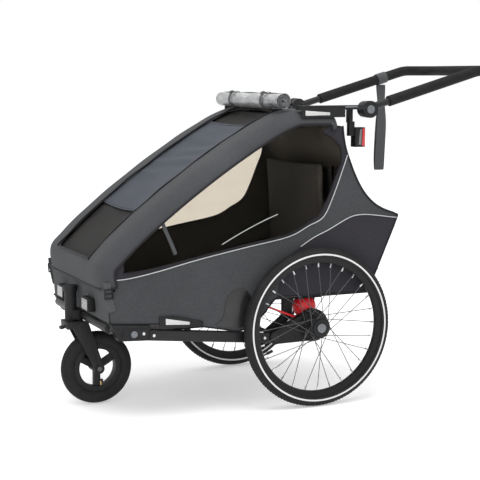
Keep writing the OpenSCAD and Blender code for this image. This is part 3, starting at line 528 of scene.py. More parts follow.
COVER_HALF = 288.5                                # half the cover's width
OPENING_HALF = 157                                # half the width of the opening in front
SLOPE_STEPS = 14
slope = [(-668, 470), (-540, 621), (-128, 893), (-47, 893)]


def bezier(handles, t):
    """The point at t along a curve with four handles."""
    pulls = (1 - t) ** 3, 3 * (1 - t) ** 2 * t, 3 * (1 - t) * t * t, t ** 3
    return tuple(sum(pull * handle[k] for pull, handle in zip(pulls, handles)) for k in (0, 1))


crest_path = [(-668, 392), (-675, 431)]
crest_path += [bezier(slope, k / SLOPE_STEPS) for k in range(SLOPE_STEPS + 1)]
crest_path += [(24, 893), (64, 890), (86, 877), (95, 857), (99, 839)]


def smooth_path(points, parts):
    """The same points with rounded turns between them."""
    result = []
    for i in range(len(points) - 1):
        a, b = points[max(i - 1, 0)], points[i]
        c, d = points[i + 1], points[min(i + 2, len(points) - 1)]
        for k in range(parts):
            t = k / parts
            result.append(tuple(0.5 * (2 * q + (r - p) * t + (2 * p - 5 * q + 4 * r - s) * t * t
                                       + (3 * q - p - 3 * r + s) * t ** 3)
                                for p, q, r, s in zip(a, b, c, d)))
    return result + [points[-1]]


crest = smooth_path(crest_path, 3)


def off_crest(points, i, depth):
    """The point at a depth below the crest line, square to it."""
    a, b = points[max(i - 1, 0)], points[min(i + 1, len(points) - 1)]
    length = hypot(b[0] - a[0], b[1] - a[1])
    return points[i][0] + depth * (b[1] - a[1]) / length, points[i][1] - depth * (b[0] - a[0]) / length


def section(depth):
    """Half section of the cover as pairs of y and depth below its crest, from edge to edge."""
    edge = [(-COVER_HALF + 75 - (75 - depth) * sin(radians(a)), 42 - (42 - depth) * cos(radians(a)))
            for a in range(90, -1, -10)]
    flat = [(y, depth) for y in (-186, -157, -105, -52, 0, 52, 105, 157, 186)]
    return edge + flat + [(-y, d) for y, d in reversed(edge)]


def grid_sheet(name, rows, columns, place):
    """A cloth sheet from a grid whose points are put in place by row and column."""
    clear_selection()
    bpy.ops.mesh.primitive_grid_add(x_subdivisions=columns - 1, y_subdivisions=rows - 1, size=1)
    sheet = bpy.context.object
    sheet.name = name
    for index, vertex in enumerate(sheet.data.vertices):
        vertex.co = place(index // columns, index % columns)
    return sheet


def drop_faces(sheet, wanted):
    """Cuts out the faces whose number is wanted, as with scissors."""
    shape = bmesh.new()
    shape.from_mesh(sheet.data)
    bmesh.ops.delete(shape, geom=[face for face in shape.faces if wanted(face.index)], context="FACES")
    shape.to_mesh(sheet.data)
    shape.free()


def face_towards(thing, axis, sign):
    """Turns a sheet over if its outer side looks the wrong way along an axis."""
    if sum(face.normal[axis] for face in thing.data.polygons) * sign < 0:
        thing.data.flip_normals()


def lined(sheet, outer, inner, thickness, smooth=0):
    """Gives a sheet its thickness to the inside, with its lining on the inner face."""
    if smooth:
        with_modifier(sheet, "SUBSURF", levels=smooth, render_levels=smooth)
    sheet.data.materials.clear()
    sheet.data.materials.append(outer)
    sheet.data.materials.append(inner)
    with_modifier(sheet, "SOLIDIFY", thickness=thickness / 1000, offset=-1.0, material_offset=1)
    shade_smooth(sheet, 50)


outer_section = section(0.6)
columns = len(outer_section)
hole_first, hole_last = 11, 17


def cover_place(i, j):
    y, depth = outer_section[j]
    tuck = 0.0
    if abs(y) > 213:                              # the shoulder's cloth draws in a little between the seams
        tuck = 1.2 * (0.5 + 0.5 * sin(i * 0.9)) * sin(pi * min(1, (abs(y) - 213) / 75))
    x, z = off_crest(crest, i, depth + tuck)
    return spot(x, y, z)


cover = grid_sheet("cover_cloth", len(crest), columns, cover_place)
face_towards(cover, 2, 1)
per_row = columns - 1
first_row, last_row = 6, 48                       # rows of the cover where the opening starts and ends
drop_faces(cover, lambda f: first_row <= f // per_row < last_row and hole_first <= f % per_row < hole_last)
lined(cover, slate_cloth, lining, 3.2, 1)
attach(cover, "canopy")
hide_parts("front_cover")


def cord_line(name, points, radius, body=None, material=None):
    """Piping or a line of webbing that follows points given in metres."""
    line = bpy.data.curves.new(name, "CURVE")
    line.dimensions = "3D"
    line.bevel_depth = radius / 1000
    line.bevel_resolution = 3
    line.use_fill_caps = True
    thread = line.splines.new("POLY")
    thread.points.add(len(points) - 1)
    for point, where in zip(thread.points, points):
        point.co = (*where, 1)
    thing = bpy.data.objects.new(name, line)
    scene.collection.objects.link(thing)
    select_only(thing)
    bpy.ops.object.convert(target="MESH")
    thing = bpy.context.object
    shade_smooth(thing, 60)
    if material:
        paint(thing, material)
    if body:
        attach(thing, body)
    return thing


edges = [cord_line("edge", [cover_place(i, j) for i in range(len(crest))], 3.4) for j in (0, columns - 1)]
edges += [cord_line("edge", [cover_place(i, j) for j in range(columns)], radius)
          for i, radius in ((0, 3.4), (len(crest) - 1, 3.0))]
for side in (-1, 1):
    run = []
    for i in range(first_row, last_row + 1):
        x, z = off_crest(crest, i, -0.6 + 0.8 * sin(i * 0.8))
        pucker = 1.6 * sin(i * 1.15 + side) + 1.0 * sin(i * 0.37)
        run.append(tuple(spot(x, side * (OPENING_HALF + pucker), z)))
    edges.append(cord_line("edge", smooth_path(run, 3), 2.6))
for row, width in ((first_row, 3.6), (last_row, 2.6)):
    x, z = off_crest(crest, row, 0.5)
    run = [spot(x, y, z) for y in range(-OPENING_HALF, OPENING_HALF + 1, 15)]
    edges.append(cord_line("edge", run, width))
piping = joined("cover_piping", edges, binding)
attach(piping, "canopy")


def crest_at(x):
    """Crest index, as a fraction, where the slope reaches x."""
    for i in range(first_row, last_row):
        if crest[i][0] <= x < crest[i + 1][0]:
            return i + (x - crest[i][0]) / (crest[i + 1][0] - crest[i][0])
    return float(last_row)


def below_crest(index, depth):
    i = min(int(index), len(crest) - 2)
    a, b = off_crest(crest, i, depth), off_crest(crest, i + 1, depth)
    t = index - i
    return a[0] + (b[0] - a[0]) * t, a[1] + (b[1] - a[1]) * t


# ------------------------------------------------------------------ Sunshade
# A loose blue-grey cloth drawn over the upper half of the opening, hemmed above and below and
# held by elastic at its sides, so it sags into soft cross folds.
def shade_place(i, j):
    v, u = i / 60, j / 16
    y = -163 + 326 * u
    low = crest_at(-520 - 5 * sin(u * pi))
    high = crest_at(-150 - 3 * sin(u * pi))
    fold = sin(v * 36 + 2.2 * sin(u * 3.0 + v * 9)) * 2.6
    fold += sin(v * 61 - u * 5.0) * 1.1 + sin(v * 17 + u * 4.0) * 1.6
    sag = (sin(pi * u) ** 0.6) * (3.6 + fold * sin(pi * v) ** 0.35)
    x, z = below_crest(low + (high - low) * v, 5.4 + max(-2.4, sag))
    return spot(x, y, z)


shade = grid_sheet("sunshade_cloth", 61, 17, shade_place)
face_towards(shade, 2, 1)
lined(shade, shade_cloth, shade_cloth, 1.0, 1)
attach(shade, "canopy")
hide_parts("sunshade")
hem_mix = woven("shade_hem", (0.045, 0.052, 0.063), (0.06, 0.068, 0.081), (0.08, 0.089, 0.104), 0.6, 0.7)
hems = []
for i in (1, 59):
    run = [shade_place(i, j) + Vector((-0.0006, 0, 0.0008)) for j in range(17)]
    hems.append(cord_line("hem", run, 1.3))
hem = joined("sunshade_hems", hems, hem_mix)
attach(hem, "canopy")

# ------------------------------------------------------------------ Insect mesh
# A fine black knitted mesh across the whole opening, behind the sunshade, that lets air through.
def knitted(name, colour_dark, colour_light, cover_low, cover_high):
    """Open knit: the yarn hides the view, the gaps between let it through."""
    net = Recipe(name, IOR=1.45, Specular_IOR_Level=0.2)
    across = net.node("ShaderNodeTexWave", {"bands_direction": "X"},
                      {"Vector": net.place(turn=(0, 0.75, 0)), "Scale": 170.0, "Distortion": 0.4,
                       "Detail": 0.0})
    along = net.node("ShaderNodeTexWave", {"bands_direction": "Y"},
                     {"Vector": net.place(), "Scale": 170.0, "Distortion": 0.4, "Detail": 0.0})
    holes = across * along
    cloud = net.grain(14.0, detail=4.0)
    return net.feed(
        Base_Color=net.ramp(cloud, (0.3, colour_dark), (0.75, colour_light)),
        Roughness=0.62 + cloud * 0.2,
        Alpha=cover_high - holes * (cover_high - cover_low),
        Normal=net.bump(across + along, 0.0002, 0.4))


mesh_knit = knitted("insect_mesh", (0.013, 0.0125, 0.0122), (0.024, 0.0228, 0.022), 0.72, 1.0)


def mesh_place(i, j):
    v, u = i / 44, j / 14
    y = -166 + 332 * u
    sag = (5.0 * sin(pi * v) ** 0.5 + 0.7 * sin(v * 23 + u * 7)) * sin(pi * u)
    x, z = below_crest(6.3 + 43.7 * v, 11.5 + sag)
    return spot(x, y, z)


net = grid_sheet("mesh_cloth", 45, 15, mesh_place)
face_towards(net, 2, 1)
lined(net, mesh_knit, mesh_knit, 0.8, 1)
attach(net, "canopy")
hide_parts("front_mesh")

# ------------------------------------------------------------------ Side walls
# Coated cloth again: a fixed slate lower wall, a dark band under the window, a slate quarter
# behind it and a dark pocket wall at the rear, joined by light reflective piping.
belt = [(-640, 421), (-586, 424), (-499, 439), (-375, 466), (-216, 495), (-85, 518), (-18, 548), (32, 573),
        (66, 638), (99, 722), (112, 758)]
pocket = [(-45, 486), (0, 512), (50, 533), (118, 566), (160, 574), (205, 571), (262, 563), (286, 560)]
window_edge = [(-606, 438), (-523, 446), (-375, 473), (-216, 502), (-85, 525), (-27, 553), (18, 580),
               (46, 628), (70, 686), (91, 738), (88, 780), (62, 808), (28, 826)]
tub_line = [(-628, 410), (-500, 420), (-350, 433), (-220, 443), (-100, 450), (0, 433), (110, 412), (212, 390)]
tail = smooth_path([(95, 845), (98, 818), (106, 779), (122, 735), (140, 694), (160, 658), (184, 627),
                    (212, 603), (244, 586), (284, 571), (287, 558), (250, 474), (213, 391)], 3)
top_line = [off_crest(crest, i, 34) for i in range(3, len(crest))]


def panel(name, outline, inner_y, sign, swell=0.0, cell=18):
    """A cut piece of cloth in a side wall, given by its outline in x and z."""
    shape = bmesh.new()
    shape.faces.new([shape.verts.new((x, 0, z)) for x, z in outline])
    for axis, low, high in ((0, -700, 320), (2, 240, 920)):
        place = low
        while place < high:
            normal = Vector((1, 0, 0)) if axis == 0 else Vector((0, 0, 1))
            bmesh.ops.bisect_plane(shape, geom=shape.verts[:] + shape.edges[:] + shape.faces[:],
                                   plane_co=normal * place, plane_no=normal, dist=0.001)
            place += cell
    for vertex in shape.verts:
        x, z = vertex.co.x, vertex.co.z
        ripple = noise.noise(Vector((x * 0.012, sign, z * 0.012))) * 1.1
        near = min(1.0, min(hypot(x - a, z - b) for a, b in outline) / 40)
        vertex.co = spot(x, sign * (inner_y + (swell + ripple) * near), z)
    thing = linked(name, shape)
    face_towards(thing, 1, sign)
    return thing


trim = Recipe("reflective_piping", IOR=1.5)
trim_beads = trim.grain(700.0, detail=2.0)
reflective_piping = trim.feed(
    Base_Color=trim.ramp(trim_beads, (0.35, (0.33, 0.34, 0.34)), (0.7, (0.5, 0.51, 0.51))),
    Roughness=0.35 + trim_beads * 0.3,
    Normal=trim.bump(trim_beads, 0.0001, 0.5))

film = Recipe("window_film", IOR=1.03, Transmission_Weight=1.0, Specular_IOR_Level=0.2)
haze = film.grain(7.0, detail=4.0)
window_film = film.feed(
    Base_Color=film.ramp(haze, (0.3, (0.74, 0.7, 0.635)), (0.7, (0.8, 0.76, 0.695))),
    Roughness=0.01 + haze * 0.03)
webbing = Recipe("black_webbing", IOR=1.45, Sheen_Weight=0.15)
rib = webbing.node("ShaderNodeTexWave", {"bands_direction": "DIAGONAL"},
                   {"Vector": webbing.place(), "Scale": 140.0})
fuzz = webbing.grain(500.0)
strap_webbing = webbing.feed(
    Base_Color=webbing.ramp(rib * 0.4 + fuzz * 0.6, (0.3, (0.03, 0.031, 0.033)), (0.75, (0.06, 0.062, 0.066))),
    Roughness=0.66 + fuzz * 0.2,
    Normal=webbing.bump(rib, 0.0004, 0.6))


def folding(thing):
    """Bakes the placement of cloth between the tub and the folding hoop into its points."""
    tuple(spot(-200, 0, 420))
    tuple(spot(-330, 0, 640))
    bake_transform(thing)


def on_wall(path, y, sign):
    """Points of x and z set on a side wall, at a distance from the middle plane."""
    return [spot(x, sign * y, z) for x, z in path]


WALL_Y = 280.4                                    # the inner face of the side cloth
WINDOW_DEPTH = 47                                 # the window's upper edge, below the cover's crest
tub_foot = [(-515, 287), (-430, 278), (-356, 266), (-300, 255), (-244, 246), (-200, 262), (-160, 296),
            (-122, 336)]

for side, sign in (("left", -1), ("right", 1)):
    low_slate = [(-653, 388), (-630, 389)] + tub_line[:5] + [(-112, 420)] + tub_foot[::-1] + [(-644, 296)]
    low_dark = [(-112, 420), (-100, 450)] + tub_line[5:] + [(209, 335), (100, 336), (-122, 336)]
    pieces = []
    for outline, cloth in ((low_slate, slate_cloth), (low_dark, dark_cloth)):
        wall = panel("wall", outline, WALL_Y, sign, 1.2)
        lined(wall, cloth, lining, 3.0)
        pieces.append(wall)
    wall = joined("lower_wall_" + side, pieces)
    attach(wall, "chassis")
    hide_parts("side_panel_" + side)

    upper_slate = tub_line[:5] + [(-45, 486)] + belt[5::-1]
    band_dark = belt + [p for p in tail[::-1] if p[1] > 765] + [(65, 832)] + window_edge[::-1] + [(-641, 431)]
    quarter = [(-85, 518), (-45, 486)] + pocket[1:]
    quarter += [p for p in tail[::-1][6:] if p[1] < 752] + belt[-1:5:-1]
    pocket_wall = [(-45, 486), (-100, 450)] + tub_line[5:]
    pocket_wall += [(230, 430), (255, 490), (284, 548), (286, 560)] + pocket[-2:0:-1]
    film_outline = window_edge + [off_crest(crest, i, WINDOW_DEPTH) for i in range(53, 8, -1)]
    header_cloth = [(-641, 431)] + window_edge[:1] + film_outline[:len(window_edge) - 1:-1]
    header_cloth += window_edge[-1:] + [(65, 832)] + top_line[::-1]
    pieces = []
    for outline, cloth, swell in ((upper_slate, slate_cloth, 0.8), (band_dark, dark_cloth, 0.2),
                                  (quarter, slate_cloth, 1.0), (pocket_wall, dark_cloth, 2.2),
                                  (header_cloth, dark_cloth, 0.0)):
        wall = panel("wall", outline, WALL_Y, sign, swell)
        lined(wall, cloth, lining, 3.0)
        pieces.append(wall)
    wall = joined("upper_wall_" + side, pieces)
    folding(wall)
    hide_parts("side_window_" + side)

    # The window: clear soft film, with one webbing seam over it.
    pane = panel("window_" + side, film_outline, 279.0, sign, 0.4, 24)
    lined(pane, window_film, window_film, 0.8)
    folding(pane)
    trims = [(belt, 1.5), (pocket, 1.5)]
    if side == "left":
        trims.append(([(-302, 506), (-262, 527), (-216, 549), (-165, 571), (-122, 587)], 1.2))
    lines = [cord_line("line", on_wall(smooth_path(path, 4), 282.0, sign), radius) for path, radius in trims]
    light = joined("light_piping_" + side, lines, reflective_piping)
    folding(light)
    rims = [cord_line("rim", on_wall(smooth_path(window_edge, 4), 281.4, sign), 2.4),
            cord_line("rim", on_wall(tail, 280.6, sign), 3.2)]
    rim = joined("dark_piping_" + side, rims, binding)
    folding(rim)
    hem_run = smooth_path([(-650, 297)] + tub_foot + [(0, 337), (209, 336)], 3)
    cord_line("wall_hem_" + side, on_wall(hem_run, 280.0, sign), 2.6, "chassis", binding)
    strap = bmesh.new()
    wide = Vector((103, 0, 45)).normalized() * 5.5
    rows = []
    for k in range(13):
        middle_x, middle_z = -491 + 45 * k / 12, 588 - 103 * k / 12
        y = sign * (280.6 + 0.4 * sin(k * 0.8))
        rows.append([strap.verts.new(spot(middle_x + wide.x * t, y, middle_z + wide.z * t))
                     for t in (-1, -0.35, 0.35, 1)])
    for k in range(12):
        for t in range(3):
            strap.faces.new((rows[k][t], rows[k][t + 1], rows[k + 1][t + 1], rows[k + 1][t]))
    seam = linked("window_strap_" + side, strap)
    face_towards(seam, 1, sign)
    lined(seam, strap_webbing, strap_webbing, 1.4)
    folding(seam)

# ------------------------------------------------------------------ Nose and rear cloth
# The nose panel closes the front under the cover; the rear bulge holds the luggage and the lower
# rear wall carries its small side-release buckle.
def nose_place(i, j):
    up = i / 8
    x = -653.6 + 6 * (1 - up) - 1.6 * sin(pi * up) * (0.6 + 0.4 * sin(j * 0.8)) - 9 * up ** 5
    return spot(x, -275 + 550 * j / 30, 297 + 100 * up)


front = grid_sheet("nose_cloth", 9, 31, nose_place)
face_towards(front, 0, -1)
lined(front, slate_cloth, lining, 3.0, 1)
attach(front, "chassis")
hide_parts("nose_panel")


def rear_place(i, j):
    x, z = off_crest(tail[::-1], i, 0)
    u = j / 24
    crown = 4.0 * sin(pi * u) ** 0.6 * sin(pi * min(1, i / len(tail)))
    ripple = 1.4 * sin(i * 0.9 + 3 * u) * sin(pi * u)
    return spot(x + crown + ripple, -275 + 550 * u, z)


rear_rows = len(tail)
back = grid_sheet("rear_cloth", rear_rows, 25, rear_place)
face_towards(back, 0, 1)
lined(back, dark_cloth, lining, 2.6, 1)
folding(back)
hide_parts("rear_flap")
low_back = grid_sheet("rear_low_cloth", 5, 25, lambda i, j: spot(
    209.4 + 1.5 * sin(pi * j / 24) + 2.6 * (i / 4) ** 3, -275 + 550 * j / 24, 327 + 68 * i / 4))
face_towards(low_back, 0, 1)
lined(low_back, dark_cloth, lining, 2.6, 1)
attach(low_back, "chassis")
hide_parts("rear_panel")

# Along both sides the tub's cloth turns in from the wall to the edge of the moulded floor.
wall_foot = [(-640, 299), (-580, 295), (-515, 291), (-430, 282), (-356, 271), (-300, 263), (-262, 263),
             (-243, 263), (-238, 300), (-234, 331), (-200, 334), (-122, 338), (0, 339), (100, 338), (205, 337)]
TUB_INNER_Y, TUB_OUTER_Y = 246.5, 279.0


def tub_edge_place(sign):
    """Rows run along the wall's foot, columns from the moulded floor out to the wall."""
    def place(i, j):
        x, outer_z = wall_foot[i]
        inner_z = 263 if x < -240 else min(outer_z, 329.5)
        out = j / 3
        return spot(x, sign * (TUB_INNER_Y + (TUB_OUTER_Y - TUB_INNER_Y) * out),
                    inner_z * (1 - out) + outer_z * out)
    return place


for side, sign in (("left", -1), ("right", 1)):
    turn_in = grid_sheet("tub_edge_" + side, len(wall_foot), 4, tub_edge_place(sign))
    lined(turn_in, lining, lining, 1.6)
    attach(turn_in, "chassis")

# ------------------------------------------------------------------ Rolled rain cover
# Clear vinyl rolled up on the roof's front edge, its turns showing at the ends, held by two elastic
# loops with their toggles.
vinyl = Recipe("clear_vinyl", IOR=1.5, Coat_Weight=0.5, Coat_Roughness=0.12)
crease = vinyl.grain(34.0, (1, 0.35, 1), 6.0, 0.65)
clear_vinyl = vinyl.feed(
    Base_Color=vinyl.ramp(crease, (0.3, (0.07, 0.072, 0.075)), (0.5, (0.22, 0.225, 0.23)),
                          (0.72, (0.42, 0.43, 0.435))),
    Roughness=0.16 + crease * 0.3,
    Normal=vinyl.bump(crease, 0.004, 0.6))
roll_x, roll_z = -79, 920.1


def roll_place(i, j):
    v = i / 28
    turn = j / 110
    angle = 2 * pi * 5.2 * turn
    squeeze = 1 - 0.09 * (exp(-((v - 0.245) / 0.02) ** 2) + exp(-((v - 0.755) / 0.02) ** 2))
    radius = (4.5 + 19.5 * turn + 0.7 * sin(v * 19 + angle * 0.5) * turn) * squeeze
    end = 4.0 * (turn - 0.5) * (1 if v > 0.5 else -1) * (1 if v in (0, 1) else 0)
    return spot(roll_x + radius * cos(angle), -229 + 458 * v + end, roll_z + radius * sin(angle))


roll = grid_sheet("rain_cover_roll", 29, 111, roll_place)
roll.data.materials.clear()
roll.data.materials.append(clear_vinyl)
with_modifier(roll, "SOLIDIFY", thickness=0.0009, offset=0)
shade_smooth(roll, 60)
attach(roll, "canopy")
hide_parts("rain_roll")
loops = []
for y in (-118, 118):
    loops.append(turned("loop", [(24.6, -6), (24.6, 6), (26.0, 6.4), (26.3, 0), (26.0, -6.4)],
                        (roll_x, y, roll_z), 72))
    loops.append(blocks("toggle", [(spot(roll_x - 16, y, roll_z + 23.5), Vector((0.006, 0, 0.002)),
                                    Vector((0, 0.0075, 0)), Vector((-0.001, 0, 0.0035)))]))
loop = joined("roll_loops", loops, strap_webbing)
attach(loop, "canopy")
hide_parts("roll_straps")

# ------------------------------------------------------------------ Roof rails and rear light
# Moulded rails that carry the handle pivots, each with a white wedge reflector in its skirt, and a
# lamp with a red lens clipped under the left rail.
for side in ("left", "right"):
    worked("roof_rail_" + side, 2.4, moulded_nylon, 3)


def prisms(name, dark, light):
    """A clear moulded lens over rows of small corner prisms."""
    prism = Recipe(name, IOR=1.55, Coat_Weight=0.6, Coat_Roughness=0.05)
    across, down = (prism.node("ShaderNodeTexWave", {"bands_direction": way},
                               {"Vector": prism.place(turn=(0, turn, 0)), "Scale": 110.0})
                    for way, turn in (("X", 0.8), ("Z", 0.2)))
    return prism.feed(
        Base_Color=prism.ramp(across * down, (0.1, dark), (0.6, light)),
        Roughness=0.14 + across * 0.12,
        Normal=prism.bump(across + down, 0.0008, 0.7))


prism_lens = prisms("white_prism_lens", (0.42, 0.42, 0.42), (0.74, 0.74, 0.73))
nose_prisms = prisms("nose_prism_lens", (0.06, 0.06, 0.062), (0.26, 0.26, 0.265))
red = Recipe("red_lens", IOR=1.5, Coat_Weight=0.6, Coat_Roughness=0.06)
flute = red.node("ShaderNodeTexWave", {"bands_direction": "Z"}, {"Vector": red.place(), "Scale": 60.0})
red_lens = red.feed(Base_Color=red.ramp(flute, (0.2, (0.35, 0.004, 0.006)), (0.8, (0.62, 0.02, 0.02))),
                    Roughness=0.12 + flute * 0.12, Normal=red.bump(flute, 0.0008, 0.5))


def lens_plate(name, outline, y, sign, thickness, material, body):
    """A flat lens or plate in a side, given by its outline in x and z, with its rim broken."""
    shape = bmesh.new()
    shape.faces.new([shape.verts.new(place) for place in on_wall(outline, y, sign)])
    thing = linked(name, shape)
    face_towards(thing, 1, sign)
    with_modifier(thing, "SOLIDIFY", thickness=thickness / 1000, offset=1.0)
    with_modifier(thing, "BEVEL", width=0.0006, segments=2)
    shade_smooth(thing)
    paint(thing, material)
    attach(thing, body)


for side, sign in (("left", -1), ("right", 1)):
    lens_plate("rail_reflector_" + side, [(-34, 877), (-34, 892), (48, 886), (48, 878)], 286.6, sign, 1.0,
               prism_lens, "canopy")
worked("rear_light", 3.0, moulded_nylon, 3)
lens_plate("rear_lamp_side", [(182, 781), (184, 835), (192, 835), (192, 781)], 244.6, -1, 1.4,
           red_lens, "canopy")
lens_plate("rear_lamp_clear", [(170, 786), (175, 832), (182, 834), (180, 784)], 244.6, -1, 1.2,
           nose_prisms, "canopy")

def domed_lens(lens, material):
    """A sheet made up as a moulded lens."""
    with_modifier(lens, "SOLIDIFY", thickness=0.0012, offset=-1)
    shade_smooth(lens)
    paint(lens, material)


back_lens = grid_sheet("rear_lamp_back_lens", 5, 5, lambda i, j: spot(
    193.3 + 0.5 * sin(pi * i / 4) * sin(pi * j / 4), -243 + 26 * j / 4, 782 + 52 * i / 4))
face_towards(back_lens, 0, 1)
domed_lens(back_lens, red_lens)
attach(back_lens, "canopy")

# ------------------------------------------------------------------ Low reflectors
# Two white reflectors in black frames on the nose and one long wedge low on each side wall.
worked("reflectors", 2.0, moulded_nylon, 2)
for side, sign in (("left", -1), ("right", 1)):
    lens_plate("side_reflector_" + side, [(-481, 283), (-481, 301), (-407, 286), (-407, 278)], 286.8,
               sign, 1.0, prism_lens, "chassis")
    lens = grid_sheet("nose_reflector_" + side, 5, 7, lambda i, j: spot(
        -674.3 - 0.5 * sin(pi * i / 4) * sin(pi * j / 6), sign * (100 + 52 * j / 6), 317 + 30 * i / 4))
    face_towards(lens, 0, -1)
    domed_lens(lens, nose_prisms)
    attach(lens, "chassis")

# ------------------------------------------------------------------ Tow socket details
# The moulded block has a long slot along its top and a small hole ahead of the button.
for side, sign in (("left", -1), ("right", 1)):
    marks = [blocks("slot", [(spot(-579, sign * 289.1, 278.5), Vector((0.04, 0, -0.0015)),
                              Vector((0, 0, 0.0026)), Vector((0, sign * 0.0007, 0)))]),
             turned("hole", [(2.2, -0.6), (5.2, -0.6), (5.0, 0.6), (4.2, 0.9), (2.4, 0.4)],
                    (-613, sign * 289.4, 264), 40)]
    mark = joined("socket_marks_" + side, marks, binding)
    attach(mark, "chassis")

# ------------------------------------------------------------------ Straps and guards
# The cover buttons down with a webbing strap and ladder-lock at each nose corner, a glossy guard
# keeps the tyre off the cloth, and a small side-release buckle closes the luggage flap.
gloss = Recipe("glossy_guard", IOR=1.5, Coat_Weight=0.35, Coat_Roughness=0.2, Specular_IOR_Level=0.4)
wave = gloss.grain(18.0, detail=3.0)
glossy_guard = gloss.feed(
    Base_Color=gloss.ramp(wave, (0.3, (0.006, 0.006, 0.0065)), (0.7, (0.014, 0.014, 0.0152))),
    Roughness=0.3 + wave * 0.25,
    Normal=gloss.bump(wave, 0.006, 0.5))


def moulded(name, steps, sign, bevel, material):
    """A small moulding of blocks, each given by x and z, half its length, half its width and its height."""
    piece = blocks(name, [(spot(x, sign * 262, z), Vector(along), Vector((0, width, 0)),
                           Vector((0, 0, height))) for (x, z), along, width, height in steps])
    with_modifier(piece, "BEVEL", width=bevel, segments=2)
    shade_smooth(piece)
    paint(piece, material)
    return piece


def ribbon(name, line, half, lift, sign, material):
    """A strip of webbing that follows points of x and z on a side wall, its width square to its run."""
    line = smooth_path(line, 4)

    def place(i, j):
        x, z = off_crest(line, i, half * (j / 2 - 1))
        return spot(x, sign * (lift + 0.5 * sin(i * 0.7)), z)

    strip = grid_sheet(name, len(line), 5, place)
    face_towards(strip, 1, sign)
    lined(strip, material, material, 1.4)
    return strip


for side, sign in (("left", -1), ("right", 1)):
    parts = [ribbon("nose_strap", [(-655, 416), (-653, 392), (-648, 362), (-641, 332)], 10.5, 283.5, sign,
                    strap_webbing)]
    bars = [(spot(x, sign * 285.6, z), Vector((0.013, 0, 0.001)), Vector((0, 0, 0.0024)),
             Vector((0, sign * 0.0017, 0))) for x, z in ((-653.5, 396), (-652, 384), (-650, 371))]
    for dx in (-12.5, 12.5):
        bars.append((spot(-651.7 + dx, sign * 285.6, 383.5), Vector((0.0018, 0, -0.0004)),
                     Vector((0.001, 0, -0.015)), Vector((0, sign * 0.0019, 0))))
    parts.append(blocks("ladder_lock", bars))
    parts[1].data.materials.append(moulded_nylon)
    lock = joined("nose_strap_" + side, parts)
    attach(lock, "chassis")
    guard = panel("wheel_guard_" + side,
                  [(-292, 334), (-284, 354), (-263, 369), (-238, 373), (-222, 365), (-208, 342), (-201, 312),
                   (-206, 284), (-222, 258), (-260, 256), (-300, 261), (-322, 268), (-302, 286), (-294, 308)],
                  282.8, sign, 3.0, 10)
    lined(guard, glossy_guard, lining, 2.4)
    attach(guard, "chassis")
    clasp = moulded("clasp", [((226, 408), (0.0035, 0, 0.0015), 0.011, 0.009),
                              ((219, 388), (0.003, 0, 0), 0.009, 0.006)], sign, 0.001, moulded_nylon)
    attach(clasp, "chassis")
    lever = moulded("rail_lever_" + side, [((128, 901.6), (0.03, 0, 0.0006), 0.0075, 0.0022),
                                           ((84, 901.2), (0.009, 0, 0), 0.009, 0.003)], sign, 0.0012,
                    grey_acetal)
    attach(lever, "canopy")

# ------------------------------------------------------------------ Seat
# A one-piece seat pad and a padded back, foam in black cloth, with a sewn line across each.
def cushion(name, low, high, body, node, turn=0.0, hinge=None):
    """A crowned pad between two corners in mm; turn leans it about the hinge, in degrees."""
    middle = spot(*[(a + b) / 2 for a, b in zip(low, high)])
    size = [(b - a) / 1000 for a, b in zip(low, high)]
    bpy.ops.mesh.primitive_cube_add(size=1, location=(0, 0, 0))
    pad = bpy.context.object
    pad.name = name
    for vertex in pad.data.vertices:
        vertex.co = Vector([v * s for v, s in zip(vertex.co, size)])
    bpy.ops.object.mode_set(mode="EDIT")
    bpy.ops.mesh.select_all(action="SELECT")
    bpy.ops.mesh.subdivide(number_cuts=14)
    bpy.ops.object.mode_set(mode="OBJECT")
    thin = size.index(min(size))
    wide, long = (axis for axis in range(3) if axis != thin)
    for vertex in pad.data.vertices:
        share = [2 * c / s for c, s in zip(vertex.co, size)]
        dome = (1 - share[wide] ** 4) * (1 - share[long] ** 4)
        seam = exp(-(share[wide] / 0.07) ** 2)
        vertex.co[thin] *= 0.72 + 0.28 * dome - 0.16 * seam * abs(share[thin])
        for axis, cross in ((wide, long), (long, wide)):
            vertex.co[axis] *= (1 - 0.035 * (1 - share[cross] ** 2)) * (1 - 0.03 * share[thin] ** 2)
        vertex.co += middle
    with_modifier(pad, "SUBSURF", levels=1, render_levels=1)
    if turn:
        c, s = cos(radians(turn)), sin(radians(turn))
        for vertex in pad.data.vertices:
            x, y, z = vertex.co - hinge
            vertex.co = hinge + Vector((x * c - z * s, y, x * s + z * c))
    shade_smooth(pad, 60)
    paint(pad, seat_cloth)
    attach(pad, body)
    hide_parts(node)
    return pad


seat_cloth = woven("seat_cloth", (0.06, 0.06, 0.063), (0.09, 0.09, 0.094), (0.13, 0.13, 0.136))
cushion("seat_pad", (-232, -196, 328.5), (42, 196, 366), "chassis", "seat_cushion")
cushion("back_pad", (72.7, -190, 400), (98.7, 190, 728), "rear_frame", "backrest", 2.7, spot(110, 0, 400))

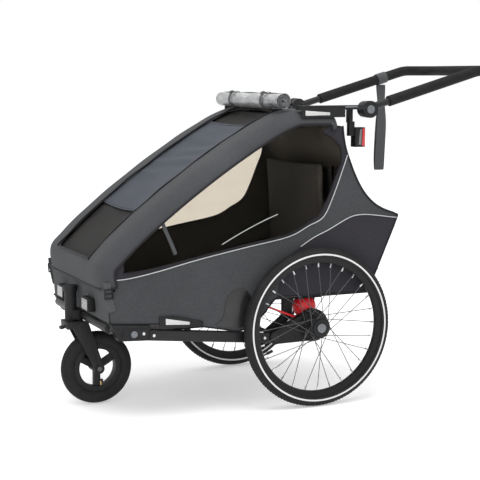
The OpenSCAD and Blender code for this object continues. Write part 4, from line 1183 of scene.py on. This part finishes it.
# ------------------------------------------------------------------ Handle foam and wrist strap
# Closed-cell foam sleeves over the handlebar and a wrist loop of flat webbing round the right arm.
foam = Recipe("handle_foam", IOR=1.4, Specular_IOR_Level=0.25)
cell = foam.grain(1500.0, detail=2.0)
scuff = foam.grain(40.0, detail=5.0)
handle_foam = foam.feed(
    Base_Color=foam.ramp(scuff, (0.3, (0.007, 0.007, 0.0076)), (0.8, (0.014, 0.014, 0.015))),
    Roughness=0.58 + scuff * 0.2,
    Normal=foam.bump(cell, 0.0003, 0.6))
finish_node("grip", handle_foam)
rise_c, rise_s = cos(radians(16)), sin(radians(16))           # the arm's rise from the pivot
arm_x, arm_y, arm_z = 201 + 335 * rise_c, 230, 893 + 335 * rise_s


def loop_place(i, j):
    """The hanging loop: two layers of webbing, pinched under the ring and rounded at the bottom."""
    angle = 2 * pi * i / 48
    down = 0.5 - 0.5 * cos(angle)
    apart = 9.0 * sin(angle) * (0.35 + 0.65 * down)
    half = 18.0 - 5.5 * exp(-((down - 0.22) / 0.14) ** 2)
    twist = 3.0 * sin(down * 5.0)
    side = j / 2 - 1
    return spot(arm_x + half * side + twist, arm_y + apart + 0.1 * twist * side, arm_z - 22 - 296 * down)


wrist = grid_sheet("wrist_loop", 49, 5, loop_place)
wrist.data.materials.clear()
wrist.data.materials.append(strap_webbing)
with_modifier(wrist, "SOLIDIFY", thickness=0.0018, offset=0)
ring = bmesh.new()
rings = []
for k in range(40):
    a = 2 * pi * k / 40
    row = []
    for r, along in ((16.9, -18), (19.3, -18), (19.7, 0), (19.3, 18), (16.9, 18)):
        row.append(ring.verts.new(spot(arm_x - rise_s * sin(a) * r + rise_c * along, arm_y + cos(a) * r,
                                       arm_z + rise_c * sin(a) * r + rise_s * along)))
    rings.append(row)
close_rings(ring, rings)
wrap = linked("wrist_wrap", ring)
wrist = joined("wrist_strap_webbing", [wrist, wrap], strap_webbing)
shade_smooth(wrist, 60)
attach(wrist, "hand_strap")
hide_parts("wrist_strap")
